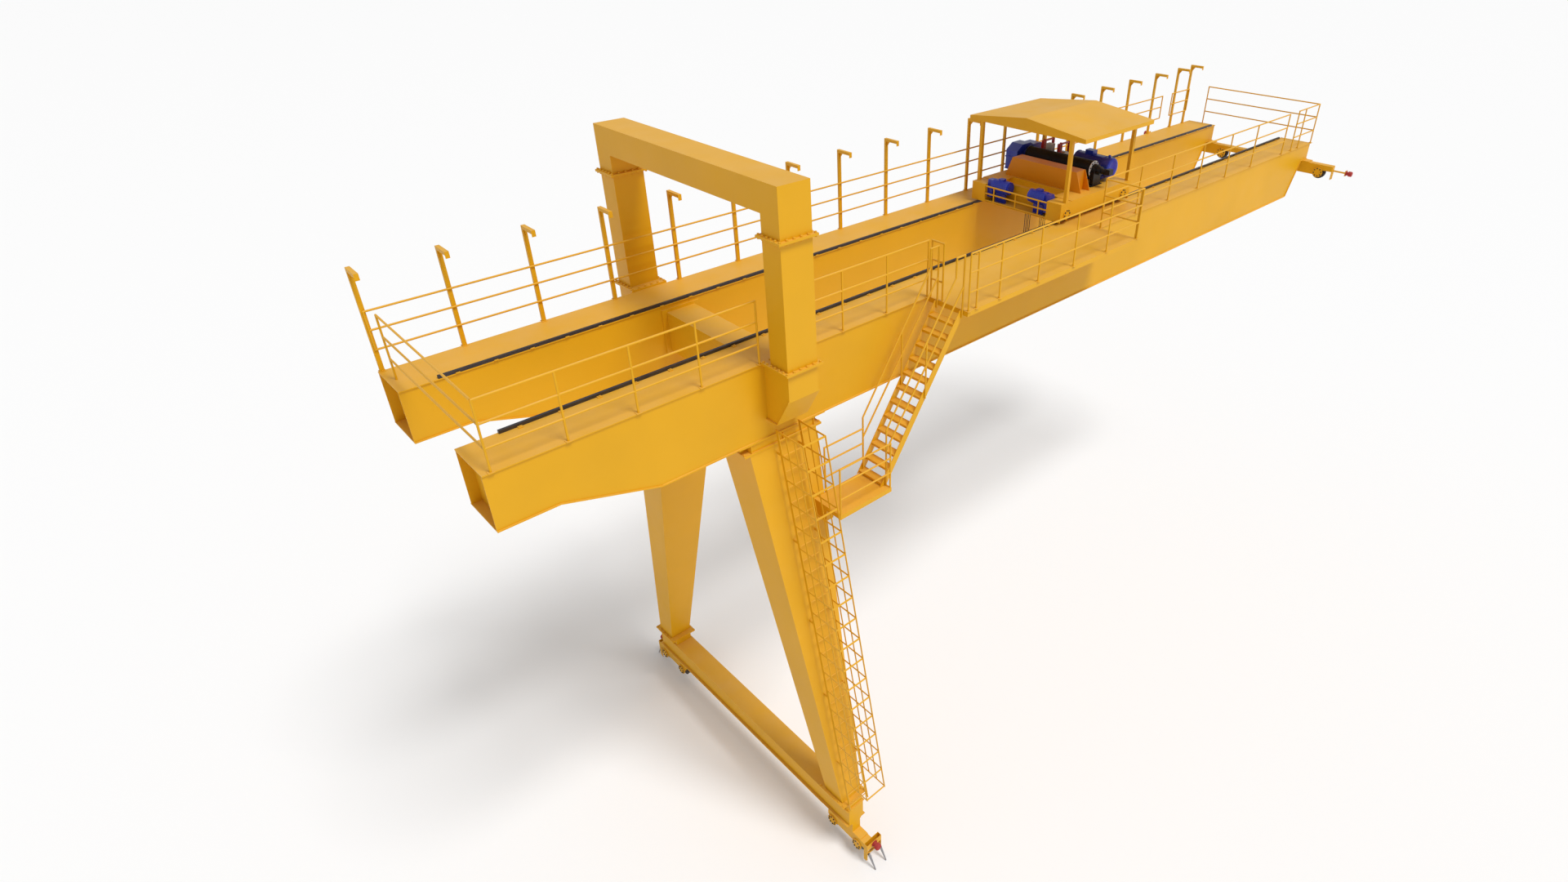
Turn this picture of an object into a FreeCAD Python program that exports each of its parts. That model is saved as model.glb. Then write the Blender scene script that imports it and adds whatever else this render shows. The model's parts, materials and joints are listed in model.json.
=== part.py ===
import FreeCAD, Part
import os

# Semi-gantry crane, in millimetres.
# +X runs along the girders toward the raised runway, +Z is up, and the operator's side is -Y.
# The origin is the centre of the ground sill's underside.

V = FreeCAD.Vector
os.makedirs("parts", exist_ok=True)
SIDES = (("near", -1), ("far", 1))

# ---- Driving dimensions ----------------------------------------------------
# Fits and clearances
PLATE_FIT = 5.0            # moving part to fixed part
PIN_FIT = 2.0              # axle in its bore
CONTACT_GAP = 0.3          # wheel tread above the rail it rolls on

# Girders
GIRDER_LENGTH = 25000.0
GIRDER_LEFT = -4930.0      # free end of the cantilever
GIRDER_INNER = 1080.0      # half the slot between the top flanges
GIRDER_WIDTH = 910.0
GIRDER_TOP = 10600.0
GIRDER_DEPTH = 1420.0
FLANGE_LIP = 25.0          # flange past the web
FLANGE_PLATE = 18.0
END_RECESS, END_WEB = 160.0, 12.0   # the end diaphragm stands back inside the webs
NOSE_DEPTH = 940.0         # girder depth at the cantilever's end
NOSE_FLAT = 930.0
NOSE_SLOPE = 1600.0
HEEL_DEPTH = 470.0         # girder depth at the runway end
HEEL_LEDGE = 400.0
HEEL_SLOPE = 550.0

# Trolley rails
RAIL_SIZE = 50.0
RAIL_FROM_WEB = 30.0       # rail centre from the flange's inner edge
RAIL_LEFT_MARGIN = 610.0
RAIL_RIGHT_MARGIN = 225.0

# Tie beam between the girders
TIE_CENTRE = 88.0
TIE_WIDTH = 600.0
TIE_LOW, TIE_HIGH = 9660.0, 10447.0
TIE_PAD_X, TIE_PAD_Z = 102.0, 60.0

# Saddle frame over the girders
SADDLE_HALF_X = 305.0
SADDLE_OUTER = 2600.0
SADDLE_INNER = 2162.0
SADDLE_TOP = 13595.0
SADDLE_BEAM_DEPTH = 480.0
SADDLE_JOINT = 12771.0     # level of the upper bolted joint
JOINT_PLATE = 19.0
JOINT_LIP = 70.0
BRACKET_SIDE = 497.0       # bracket's upright outer face
BRACKET_DEPTH = 1067.0
BRACKET_TOE = 2252.0

# Legs
HEAD_DEPTH = 175.0
HEAD_TOP_HALF, HEAD_LOW_HALF = 932.0, 800.0
LEG_FLANGE_HALF = 841.0
LEG_FLANGE = 20.0
LEG_TOP_HALF, LEG_LOW_HALF = 725.0, 262.0
LEG_TOP_IN, LEG_TOP_OUT = 1085.0, 1975.0
LEG_LOW_IN, LEG_LOW_OUT = 3010.0, 3555.0

# Ground sill
SILL_TOP = 515.0
SILL_WEB_HALF = 200.0
SILL_TOP_HALF = 240.0
SILL_LOW_HALF = 255.0
SILL_PLATE = 30.0
SILL_END = 3690.0
NECK_TOP = 680.0
NECK_HALF = 208.0
NECK_IN, NECK_OUT = 2890.0, 3650.0
SEAT_IN, SEAT_STEP = 2870.0, 14.0   # the bogie seats are let into the sill's underside
SHOE_HALF, SHOE_IN, SHOE_OUT = 335.0, 2867.0, 3654.0
SHOE_PLATE = 18.0

# Wheels on the ground rail
BOGIE_HALF = 110.0
PEDESTAL_DEPTH = 290.0
BOGIE_LOW = -560.0
BOGIE_IN, BOGIE_OUT = 2875.0, 3935.0
BOGIE_WHEELS = (("inner", 3035.0), ("outer", 3835.0))
BOGIE_AXLE_Z = -543.0
BOGIE_TREAD = 181.7
TRAY_OUT = 4150.0
TRAY_WIDE = 305.0
TRAY_LOW, TRAY_HIGH = -480.0, -317.0
TRAY_SHEET = 8.0
SWEEPER_X, SWEEPER_Z, SWEEPER_LONG = (-60.0, 255.0), -640.0, 364.0
GUARD_LOW = -860.0

# Every wheel
WHEEL_WIDTH = 90.0
WHEEL_FLANGE = 15.0
WHEEL_FLANGE_WIDE = 16.0
AXLE_R = 38.0
CAP_R = 130.0
CAP_THICK = 30.0

# End carriage on the raised runway
CARRIAGE_X = 19894.0
CARRIAGE_WIDE = 210.0
CARRIAGE_TOP = 10112.0
CARRIAGE_SHALLOW = 9961.0
CARRIAGE_DEEP = 9802.0
CARRIAGE_END = 2867.0
CARRIAGE_WHEELS = (("inner", 576.0), ("outer", 2494.0))
CARRIAGE_AXLE_Z = 9886.0
CARRIAGE_TREAD = 171.7
CARRIAGE_CAP = 140.0

# Railings
TUBE_R = 17.0
HANDRAIL_H, MID_RAIL_H, LOW_RAIL_H = 1100.0, 740.0, 365.0
RAIL_Y = 1972.0
NEAR_LEFT_POSTS = (-4801.0, 1104.0, 5)
NEAR_MID_POSTS = (366.0, 1054.0, 4)
NEAR_RIGHT_POSTS = (9198.0, 1417.0, 6)
GATE_POSTS = (18135.0, 18728.0)
RIGHT_END_X = 20050.0
END_RAIL_FAR = 1520.0
FAR_RAILS_H = (1035.0, 720.0, 390.0)
CABLE_POST_H = 1745.0
CABLE_ARM = 370.0
CABLE_POST_FIRST, CABLE_POST_PITCH, CABLE_POST_COUNT = -3555.0, 1404.7, 16
CABLE_POST_EXTRA = (-4866.0, 18796.0, 19582.0)
FAR_GATE = (18009.0, 18569.0)

# Balcony, stair and landing
BALCONY_X0, BALCONY_X1 = 3567.0, 9149.0
BALCONY_OUT = 2953.0
BALCONY_DEEP = 98.0
DECK_PLATE = 10.0
STAIR_IN, STAIR_OUT = 2180.0, 2813.0
TREADS = 12
TREAD_FIRST_X, TREAD_FIRST_Z = 3527.0, 10367.0
TREAD_RUN, TREAD_RISE = 163.2, 241.6
TREAD_WIDE, TREAD_THICK = 175.0, 22.0
STRINGER_FOOT, STRINGER_THICK = (1510.0, 1680.0), 12.0
STAIR_POSTS = (3550.0, 2640.0, 1650.0)
LANDING_X0, LANDING_X1 = 416.0, 1682.0
LANDING_IN, LANDING_OUT = 2198.0, 2949.0
LANDING_TOP = 7643.0
LANDING_DEEP = 95.0
LANDING_RAILS_H = (330.0, 650.0, 970.0)

# Caged ladder on the near leg
LADDER_X = (-190.0, 300.0)
LADDER_TOP, LADDER_LOW = 9300.0, 575.0
LADDER_STANDOFF = 136.0
RUNG_PITCH = 300.0
CAGE_DEEP = 690.0
HOOPS, HOOP_PITCH, HOOP_TOP = 18, 460.0, 9280.0

# Trolley
TROLLEY_X0, TROLLEY_X1 = 8547.0, 11315.0
TROLLEY_IN, TROLLEY_OUT = 905.0, 1302.0
TROLLEY_LOW, TROLLEY_TOP = 10741.0, 11088.0
TROLLEY_AXLES = (("rear", 8783.0), ("front", 11035.0))
TROLLEY_TREAD = 174.7
DECK_TOP = 11100.0
EAVE_Z, RIDGE_Z, FASCIA = 12536.0, 12725.0, 90.0
ROOF_X0, ROOF_X1, ROOF_HALF_Y = 8701.0, 11400.0, 1628.0
ROOF_POST_X, ROOF_POST = (8745.0, 11225.0), 80.0
ROOF_POST_Y = 1262.0
DRUM_X, DRUM_Z, DRUM_R = 10311.0, 11460.0, 180.0
DRUM_NEAR, DRUM_FAR = -877.0, 1000.0
BEAM_X0, BEAM_X1, BEAM_HIGH = 9515.0, 9870.0, 11550.0
BEAM_NEAR, BEAM_FAR = -1130.0, 1085.0
BEAM_SPLAY, BEAM_SHEET = 180.0, 15.0
MOTOR_X, MOTOR_Z, MOTOR_R = 10850.0, 11415.0, 230.0
BOX_X0, BOX_X1, BOX_NEAR, BOX_FAR = 9930.0, 10980.0, 1100.0, 1440.0
BLOCK_X, BLOCK_Z = 9840.0, 8950.0
ROPE_GROUPS = ((540.0, 4), (90.0, 4), (-270.0, 2), (-540.0, 2))
SHELF_X1, SHELF_Z = 8930.0, 10680.0
SLOT_X0, SLOT_X1, SLOT_HALF_Y = 9560.0, 9960.0, 780.0
ROPE_R, ROPE_PITCH = 8.0, 50.0
HOOK_TURN = -12.0

# ---- Values that follow ----------------------------------------------------
GIRDER_RIGHT = GIRDER_LEFT + GIRDER_LENGTH
GIRDER_OUTER = GIRDER_INNER + GIRDER_WIDTH
WEB_IN = GIRDER_INNER + FLANGE_LIP
WEB_OUT = GIRDER_OUTER - FLANGE_LIP
RAIL_Y0 = GIRDER_INNER + RAIL_FROM_WEB
GIRDER_LOW = GIRDER_TOP - GIRDER_DEPTH
HEAD_LOW = GIRDER_LOW - HEAD_DEPTH
RAIL_TOP = GIRDER_TOP + RAIL_SIZE
TROLLEY_AXLE_Z = RAIL_TOP + TROLLEY_TREAD + CONTACT_GAP
LEG_TOP_Z = HEAD_LOW - 2 * LEG_FLANGE
LEG_LOW_Z = NECK_TOP + 2 * SHOE_PLATE
LEG_BATTER = (LEG_LOW_OUT - LEG_TOP_OUT) / (LEG_TOP_Z - LEG_LOW_Z)
BALCONY_TOP = GIRDER_TOP


# ---- Helpers ---------------------------------------------------------------
def box(x0, x1, y0, y1, z0, z1):
    """Box between two corners given as low and high values."""
    return Part.makeBox(x1 - x0, y1 - y0, z1 - z0, V(x0, y0, z0))


def prism(points, push):
    """Flat polygon pushed along a vector."""
    wire = Part.makePolygon([V(*p) for p in points + [points[0]]])
    return Part.Face(wire).extrude(V(*push))


def prism_y(profile, y0, y1):
    """Profile of (x, z) points between two y values."""
    return prism([(x, y0, z) for x, z in profile], (0, y1 - y0, 0))


def prism_x(profile, x0, x1):
    """Profile of (y, z) points between two x values."""
    return prism([(x0, y, z) for y, z in profile], (x1 - x0, 0, 0))


def rod(start, end, radius):
    """Round bar between two points."""
    a, b = V(*start), V(*end)
    return Part.makeCylinder(radius, (b - a).Length, a, b - a)


def disc_x(x0, x1, y, z, radius):
    return rod((x0, y, z), (x1, y, z), radius)


def disc_y(y0, y1, x, z, radius):
    return rod((x, y0, z), (x, y1, z), radius)


def join(shapes):
    """One solid from shapes that touch or overlap."""
    first, rest = shapes[0], shapes[1:]
    return first.fuse(rest).removeSplitter() if rest else first


def group(shapes):
    """Several separate solids in one node."""
    return Part.makeCompound(shapes)


def flip(shape, side):
    """Copy for the near side of a shape drawn on the far side."""
    return shape if side > 0 else shape.mirror(V(0, 0, 0), V(0, 1, 0))


def both(shape):
    """The shape and its mirror image, as one node."""
    return group([flip(shape, side) for name, side in SIDES])


def save(name, shape):
    shape.exportStep("parts/" + name + ".step")
    print(name, "solids", len(shape.Solids), "valid", shape.isValid())


def row(first, pitch, count):
    return [first + pitch * i for i in range(count)]


def panel(posts, rails, foot, top):
    """Railing panel: posts as (x, y) pairs, level rails from the first to the last post."""
    bars = [rod((x, y, foot), (x, y, top), TUBE_R) for x, y in posts]
    first, last = V(*posts[0], 0), V(*posts[-1], 0)
    past = (last - first).normalize() * TUBE_R / 2
    for z in rails:
        up = V(0, 0, z)
        bars.append(rod(first - past + up, last + past + up, TUBE_R))
    return join(bars)


def guard_heights(floor):
    return [floor + LOW_RAIL_H, floor + MID_RAIL_H, floor + HANDRAIL_H]


def wheel(centre, axis, tread, half_axle):
    """Double-flanged wheel on an axle, centred on its rail; axis is a unit vector."""
    c, a = V(*centre), V(*axis)

    def round_bar(low, high, radius):
        return Part.makeCylinder(radius, high - low, c + a * low, a)

    half = WHEEL_WIDTH / 2
    rim = half - WHEEL_FLANGE_WIDE
    return join([round_bar(-half, half, tread),
                 round_bar(rim, half, tread + WHEEL_FLANGE),
                 round_bar(-half, -rim, tread + WHEEL_FLANGE),
                 round_bar(-half_axle, half_axle, AXLE_R)])


# ---- Girders and rails -----------------------------------------------------
def girder_profile():
    nose_a = GIRDER_LEFT + NOSE_FLAT
    heel_a = GIRDER_RIGHT - HEEL_LEDGE
    return [
        (GIRDER_LEFT, GIRDER_TOP - NOSE_DEPTH),
        (nose_a, GIRDER_TOP - NOSE_DEPTH),
        (nose_a + NOSE_SLOPE, GIRDER_LOW),
        (heel_a - HEEL_SLOPE, GIRDER_LOW),
        (heel_a, GIRDER_TOP - HEEL_DEPTH),
        (GIRDER_RIGHT, GIRDER_TOP - HEEL_DEPTH),
    ]


def girder():
    low = girder_profile()
    web = low + [(GIRDER_RIGHT, GIRDER_TOP), (GIRDER_LEFT, GIRDER_TOP)]
    skin = low + [(x, z + FLANGE_PLATE) for x, z in reversed(low)]
    top = box(GIRDER_LEFT, GIRDER_RIGHT, GIRDER_INNER, GIRDER_OUTER,
              GIRDER_TOP - FLANGE_PLATE, GIRDER_TOP)
    beam = join([prism_y(web, WEB_IN, WEB_OUT), prism_y(skin, GIRDER_INNER, GIRDER_OUTER), top])
    return beam.cut(box(GIRDER_LEFT - 1, GIRDER_LEFT + END_RECESS, WEB_IN + END_WEB, WEB_OUT - END_WEB,
                        GIRDER_TOP - NOSE_DEPTH + FLANGE_PLATE, GIRDER_TOP - FLANGE_PLATE))


def trolley_rail():
    half = RAIL_SIZE / 2
    return box(GIRDER_LEFT + RAIL_LEFT_MARGIN, GIRDER_RIGHT - RAIL_RIGHT_MARGIN,
               RAIL_Y0 - half, RAIL_Y0 + half, GIRDER_TOP, RAIL_TOP)


for name, side in SIDES:
    save(name + "_girder", flip(girder(), side))
save("trolley_rails", both(trolley_rail()))

tie_half = TIE_WIDTH / 2
tie = [box(TIE_CENTRE - tie_half, TIE_CENTRE + tie_half, -GIRDER_INNER, GIRDER_INNER,
           TIE_LOW, TIE_HIGH)]
for name, side in SIDES:
    tie.append(flip(box(TIE_CENTRE - tie_half - TIE_PAD_X, TIE_CENTRE + tie_half + TIE_PAD_X,
                        GIRDER_INNER - 2, WEB_IN, TIE_LOW - 35, TIE_HIGH + TIE_PAD_Z), side))
save("girder_tie_beam", join(tie))


# ---- Saddle frame ----------------------------------------------------------
def joint_plate(x_half, y0, y1, z0, thick, lip):
    return box(-x_half - lip, x_half + lip, y0 - lip, y1 + lip, z0, z0 + thick)


saddle = [box(-SADDLE_HALF_X, SADDLE_HALF_X, -SADDLE_OUTER, SADDLE_OUTER,
              SADDLE_TOP - SADDLE_BEAM_DEPTH, SADDLE_TOP)]
for name, side in SIDES:
    saddle.append(flip(box(-SADDLE_HALF_X, SADDLE_HALF_X, SADDLE_INNER, SADDLE_OUTER,
                           SADDLE_JOINT, SADDLE_TOP - 10), side))
    saddle.append(flip(joint_plate(SADDLE_HALF_X, SADDLE_INNER, SADDLE_OUTER, SADDLE_JOINT,
                                   JOINT_PLATE, JOINT_LIP), side))
save("saddle_beam", join(saddle))

SADDLE_FOOT = GIRDER_TOP + 2 * JOINT_PLATE


def saddle_column():
    shaft = box(-SADDLE_HALF_X, SADDLE_HALF_X, SADDLE_INNER, SADDLE_OUTER,
                GIRDER_TOP + JOINT_PLATE, SADDLE_JOINT)
    upper = joint_plate(SADDLE_HALF_X, SADDLE_INNER, SADDLE_OUTER, SADDLE_JOINT - JOINT_PLATE,
                        JOINT_PLATE, JOINT_LIP)
    lower = box(-SADDLE_HALF_X - JOINT_LIP, SADDLE_HALF_X + JOINT_LIP, GIRDER_OUTER,
                SADDLE_OUTER + JOINT_LIP, GIRDER_TOP + JOINT_PLATE, SADDLE_FOOT)
    return join([shaft, upper, lower])


def saddle_bracket():
    top = GIRDER_TOP
    low = top - BRACKET_DEPTH
    body = [(GIRDER_OUTER, top + 2), (SADDLE_OUTER, top + 2), (SADDLE_OUTER, top - BRACKET_SIDE),
            (BRACKET_TOE, low), (WEB_OUT, low), (WEB_OUT, top - FLANGE_PLATE),
            (GIRDER_OUTER, top - FLANGE_PLATE)]
    sole = [(WEB_OUT, low), (BRACKET_TOE, low), (SADDLE_OUTER, top - BRACKET_SIDE),
            (SADDLE_OUTER, top - BRACKET_SIDE + 20), (BRACKET_TOE, low + 20), (WEB_OUT, low + 20)]
    plate = box(-SADDLE_HALF_X - JOINT_LIP, SADDLE_HALF_X + JOINT_LIP, GIRDER_OUTER,
                SADDLE_OUTER + JOINT_LIP, top, top + JOINT_PLATE)
    return join([prism_x(body, -SADDLE_HALF_X, SADDLE_HALF_X),
                 prism_x(sole, -SADDLE_HALF_X - 25, SADDLE_HALF_X + 25), plate])


save("saddle_columns", both(saddle_column()))
save("saddle_brackets", both(saddle_bracket()))


# ---- Legs ------------------------------------------------------------------
def leg_head():
    core = box(-LEG_TOP_HALF + 25, LEG_TOP_HALF - 25, GIRDER_INNER + 40, GIRDER_OUTER - 40,
               HEAD_LOW, GIRDER_LOW)
    top = box(-HEAD_TOP_HALF, HEAD_TOP_HALF, GIRDER_INNER, GIRDER_OUTER,
              GIRDER_LOW - 16, GIRDER_LOW)
    foot = box(-LEG_FLANGE_HALF, LEG_FLANGE_HALF, GIRDER_INNER, GIRDER_OUTER,
               HEAD_LOW - LEG_FLANGE, HEAD_LOW)
    shapes = [core, top, foot]
    gusset = [(-HEAD_TOP_HALF, GIRDER_LOW - 16), (HEAD_TOP_HALF, GIRDER_LOW - 16),
              (HEAD_LOW_HALF, HEAD_LOW - 5), (-HEAD_LOW_HALF, HEAD_LOW - 5)]
    mid = (GIRDER_INNER + GIRDER_OUTER) / 2
    for y in (GIRDER_INNER + 160, mid, GIRDER_OUTER - 160):
        shapes.append(prism_y(gusset, y - 8, y + 8))
    for x in (-LEG_TOP_HALF + 40, 0, LEG_TOP_HALF - 40):
        shapes.append(box(x - 8, x + 8, GIRDER_INNER + 10, GIRDER_OUTER - 10,
                          HEAD_LOW - 5, GIRDER_LOW - 5))
    return join(shapes)


def rectangle_wire(x_half, y0, y1, z):
    corners = [(-x_half, y0), (x_half, y0), (x_half, y1), (-x_half, y1), (-x_half, y0)]
    return Part.makePolygon([V(x, y, z) for x, y in corners])


def leg():
    low = rectangle_wire(LEG_LOW_HALF, LEG_LOW_IN, LEG_LOW_OUT, LEG_LOW_Z)
    high = rectangle_wire(LEG_TOP_HALF, LEG_TOP_IN, LEG_TOP_OUT, LEG_TOP_Z)
    shaft = Part.makeLoft([low, high], True, True)
    top = box(-LEG_FLANGE_HALF, LEG_FLANGE_HALF, GIRDER_INNER, GIRDER_OUTER,
              LEG_TOP_Z, LEG_TOP_Z + LEG_FLANGE)
    shoe = box(-SHOE_HALF, SHOE_HALF, SHOE_IN, SHOE_OUT, LEG_LOW_Z - SHOE_PLATE, LEG_LOW_Z)
    return join([shaft, top, shoe])


save("leg_heads", both(leg_head()))
for name, side in SIDES:
    save(name + "_leg", flip(leg(), side))

# ---- Ground sill -----------------------------------------------------------
sill = [
    box(-SILL_WEB_HALF, SILL_WEB_HALF, -SILL_END, SILL_END, SEAT_STEP, SILL_TOP),
    box(-SILL_TOP_HALF, SILL_TOP_HALF, -SILL_END, SILL_END, SILL_TOP - 20, SILL_TOP),
    box(-SILL_LOW_HALF, SILL_LOW_HALF, -SILL_END, SILL_END, SEAT_STEP, SILL_PLATE),
    box(-SILL_LOW_HALF, SILL_LOW_HALF, -SEAT_IN, SEAT_IN, 0, SILL_PLATE),
]
for name, side in SIDES:
    sill.append(flip(box(-NECK_HALF, NECK_HALF, NECK_IN, NECK_OUT, SILL_TOP - 5, NECK_TOP), side))
    sill.append(flip(box(-SHOE_HALF, SHOE_HALF, SHOE_IN, SHOE_OUT, NECK_TOP, NECK_TOP + SHOE_PLATE),
                     side))
save("ground_sill", join(sill))


# ---- Bogies ----------------------------------------------------------------
def bogie_frame():
    roof = -PEDESTAL_DEPTH
    beam = [(BOGIE_IN + 90, roof), (BOGIE_OUT, roof), (BOGIE_OUT, BOGIE_LOW),
            (BOGIE_IN + 60, BOGIE_LOW), (BOGIE_IN, BOGIE_LOW + 90), (BOGIE_IN, roof - 70)]
    body = join([prism_x(beam, -BOGIE_HALF, BOGIE_HALF),
                 box(-BOGIE_HALF, BOGIE_HALF, NECK_IN + 10, SILL_END, roof - 5, 0),
                 box(-BOGIE_HALF - 30, BOGIE_HALF + 30, NECK_IN, SILL_END, -16, SEAT_STEP)])
    slot = WHEEL_WIDTH / 2 + 2 * PLATE_FIT
    reach = BOGIE_TREAD + WHEEL_FLANGE + 3 * PLATE_FIT
    for name, y in BOGIE_WHEELS:
        ceiling = BOGIE_AXLE_Z + reach
        body = body.cut(box(-slot, slot, y - reach, y + reach, BOGIE_LOW - 300, ceiling))
        for s in (-1, 1):
            low, high = sorted((s * (BOGIE_HALF - 1), s * (BOGIE_HALF + CAP_THICK)))
            body = body.fuse(disc_x(low, high, y, BOGIE_AXLE_Z, CAP_R))
        body = body.cut(disc_x(-BOGIE_HALF - 8, BOGIE_HALF + 8, y, BOGIE_AXLE_Z, AXLE_R + PIN_FIT))
    tray_in = BOGIE_WHEELS[1][1] + reach
    tray = box(-BOGIE_HALF, TRAY_WIDE, tray_in, TRAY_OUT, TRAY_LOW, TRAY_HIGH)
    tray = tray.cut(box(-BOGIE_HALF + TRAY_SHEET, TRAY_WIDE - TRAY_SHEET, tray_in + TRAY_SHEET,
                        TRAY_OUT - TRAY_SHEET, TRAY_LOW + TRAY_SHEET, TRAY_HIGH + 1))
    cover = box(-BOGIE_HALF, BOGIE_HALF, BOGIE_OUT - 20, tray_in + 5,
                TRAY_HIGH - TRAY_SHEET, TRAY_HIGH)
    shapes = [body, tray, cover]
    for x in (-BOGIE_HALF, BOGIE_HALF - TRAY_SHEET):
        shapes.append(box(x, x + TRAY_SHEET, BOGIE_OUT - 20, tray_in + 5, TRAY_LOW, TRAY_HIGH))
    for x in (-BOGIE_HALF, TRAY_WIDE - TRAY_SHEET):
        guard = [(TRAY_OUT - 110, TRAY_LOW + 40), (TRAY_OUT, TRAY_LOW + 40),
                 (TRAY_OUT, GUARD_LOW + 60), (TRAY_OUT - 40, GUARD_LOW),
                 (TRAY_OUT - 110, GUARD_LOW)]
        shapes.append(prism_x(guard, x, x + TRAY_SHEET))
    shapes.append(box(-BOGIE_HALF, TRAY_WIDE, TRAY_OUT - 60, TRAY_OUT - 20, -660, -620))
    return join(shapes)


def sweeper_rods():
    """Stout rods that point down and outward from under the tray to sweep the rail."""
    shapes = []
    for x in SWEEPER_X:
        knee = V(x, TRAY_OUT + 20, SWEEPER_Z)
        shapes.append(join([rod((x, TRAY_OUT - 20, SWEEPER_Z), knee, 22), Part.makeSphere(30, knee),
                            Part.makeCone(30, 12, SWEEPER_LONG, knee, V(0, 0.52, -0.86))]))
    return shapes


def buffer_y(x, z, start, length, radius):
    """Rubber buffer pointing outward along +Y with a small mounting flange."""
    body = disc_y(start, start + length - 15, x, z, radius * 0.72)
    head = disc_y(start + length * 0.45, start + length - 15, x, z, radius)
    nose = Part.makeCone(radius, radius * 0.82, 15, V(x, start + length - 15, z), V(0, 1, 0))
    return join([disc_y(start, start + 12, x, z, radius), body, head, nose])


buffers, sweepers = [], []
for name, side in SIDES:
    buffers.append(flip(buffer_y(98.0, -398.0, TRAY_OUT, 155.0, 76.0), side))
    sweepers += [flip(s, side) for s in sweeper_rods()]
    for place, y in BOGIE_WHEELS:
        save(name + "_" + place + "_bogie_wheel",
             wheel((0, side * y, BOGIE_AXLE_Z), (1, 0, 0), BOGIE_TREAD, BOGIE_HALF + 4))
save("bogie_frames", both(bogie_frame()))
save("bogie_buffers", group(buffers))
save("rail_sweepers", group(sweepers))

# ---- End carriage ----------------------------------------------------------
c_lo, c_hi = CARRIAGE_X - CARRIAGE_WIDE / 2, CARRIAGE_X + CARRIAGE_WIDE / 2
w_in, w_out = CARRIAGE_WHEELS[0][1], CARRIAGE_WHEELS[1][1]
carriage = [box(c_lo, c_hi, -CARRIAGE_END, CARRIAGE_END, CARRIAGE_SHALLOW, CARRIAGE_TOP)]
for name, side in SIDES:
    carriage.append(flip(box(c_lo, c_hi, w_in - 60, w_out + 60, CARRIAGE_DEEP, CARRIAGE_TOP - 5),
                         side))
    carriage.append(flip(box(c_lo, GIRDER_RIGHT, 900.0, 2170.0, CARRIAGE_TOP - 5,
                             GIRDER_TOP - HEEL_DEPTH), side))
    carriage.append(flip(box(CARRIAGE_X - 75, CARRIAGE_X + 75, CARRIAGE_END - 2, CARRIAGE_END + 14,
                             9733.0, CARRIAGE_TOP - 20), side))
    carriage.append(flip(disc_y(CARRIAGE_END, 3247.0, CARRIAGE_X, 9985.0, 24.0), side))
    carriage.append(flip(box(CARRIAGE_X - 75, CARRIAGE_X + 75, 3240.0, 3255.0, 9910.0, 10060.0),
                         side))
end_carriage = join(carriage)
slot = WHEEL_WIDTH / 2 + 2 * PLATE_FIT
reach = CARRIAGE_TREAD + WHEEL_FLANGE + 3 * PLATE_FIT
for name, side in SIDES:
    for place, y0 in CARRIAGE_WHEELS:
        y = side * y0
        end_carriage = end_carriage.cut(box(CARRIAGE_X - slot, CARRIAGE_X + slot, y - reach,
                                            y + reach, CARRIAGE_DEEP - 200,
                                            CARRIAGE_AXLE_Z + reach))
        caps = [disc_x(c_lo - CAP_THICK, c_lo + 1, y, CARRIAGE_AXLE_Z, CARRIAGE_CAP),
                disc_x(c_hi - 1, c_hi + CAP_THICK, y, CARRIAGE_AXLE_Z, CARRIAGE_CAP)]
        end_carriage = end_carriage.fuse(caps)
        end_carriage = end_carriage.cut(disc_x(c_lo - 8, c_hi + 8, y, CARRIAGE_AXLE_Z,
                                               AXLE_R + PIN_FIT))
        save(name + "_" + place + "_carriage_wheel",
             wheel((CARRIAGE_X, y, CARRIAGE_AXLE_Z), (1, 0, 0), CARRIAGE_TREAD,
                   CARRIAGE_WIDE / 2 + 4))
save("end_carriage", end_carriage.removeSplitter())
save("carriage_buffers", group([flip(buffer_y(CARRIAGE_X, 9985.0, 3255.0, 165.0, 72.0), side)
                                for name, side in SIDES]))

# ---- Railings on the girders -----------------------------------------------
near = -RAIL_Y
levels = guard_heights(GIRDER_TOP)
top_level = GIRDER_TOP + HANDRAIL_H
runs = [row(*NEAR_LEFT_POSTS), row(*NEAR_MID_POSTS), row(*NEAR_RIGHT_POSTS) + [GATE_POSTS[0]],
        [GATE_POSTS[1], 19175.0, RIGHT_END_X]]
save("near_railings", group([panel([(x, near) for x in run], levels, GIRDER_TOP, top_level)
                             for run in runs]))


def end_railing(x, inset):
    """Rails across both girders from the near corner post to a post on the far girder."""
    bars = [rod((x, END_RAIL_FAR, GIRDER_TOP), (x, END_RAIL_FAR, top_level), TUBE_R),
            Part.makeSphere(TUBE_R, V(x, END_RAIL_FAR, top_level))]
    for z in levels:
        bars.append(rod((x, near + inset, z), (x, END_RAIL_FAR, z), TUBE_R))
    return join(bars)


save("end_railings", group([end_railing(x, TUBE_R) for x in (NEAR_LEFT_POSTS[0], RIGHT_END_X)]))

cable_posts_x = list(CABLE_POST_EXTRA) + row(CABLE_POST_FIRST, CABLE_POST_PITCH, CABLE_POST_COUNT)


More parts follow.
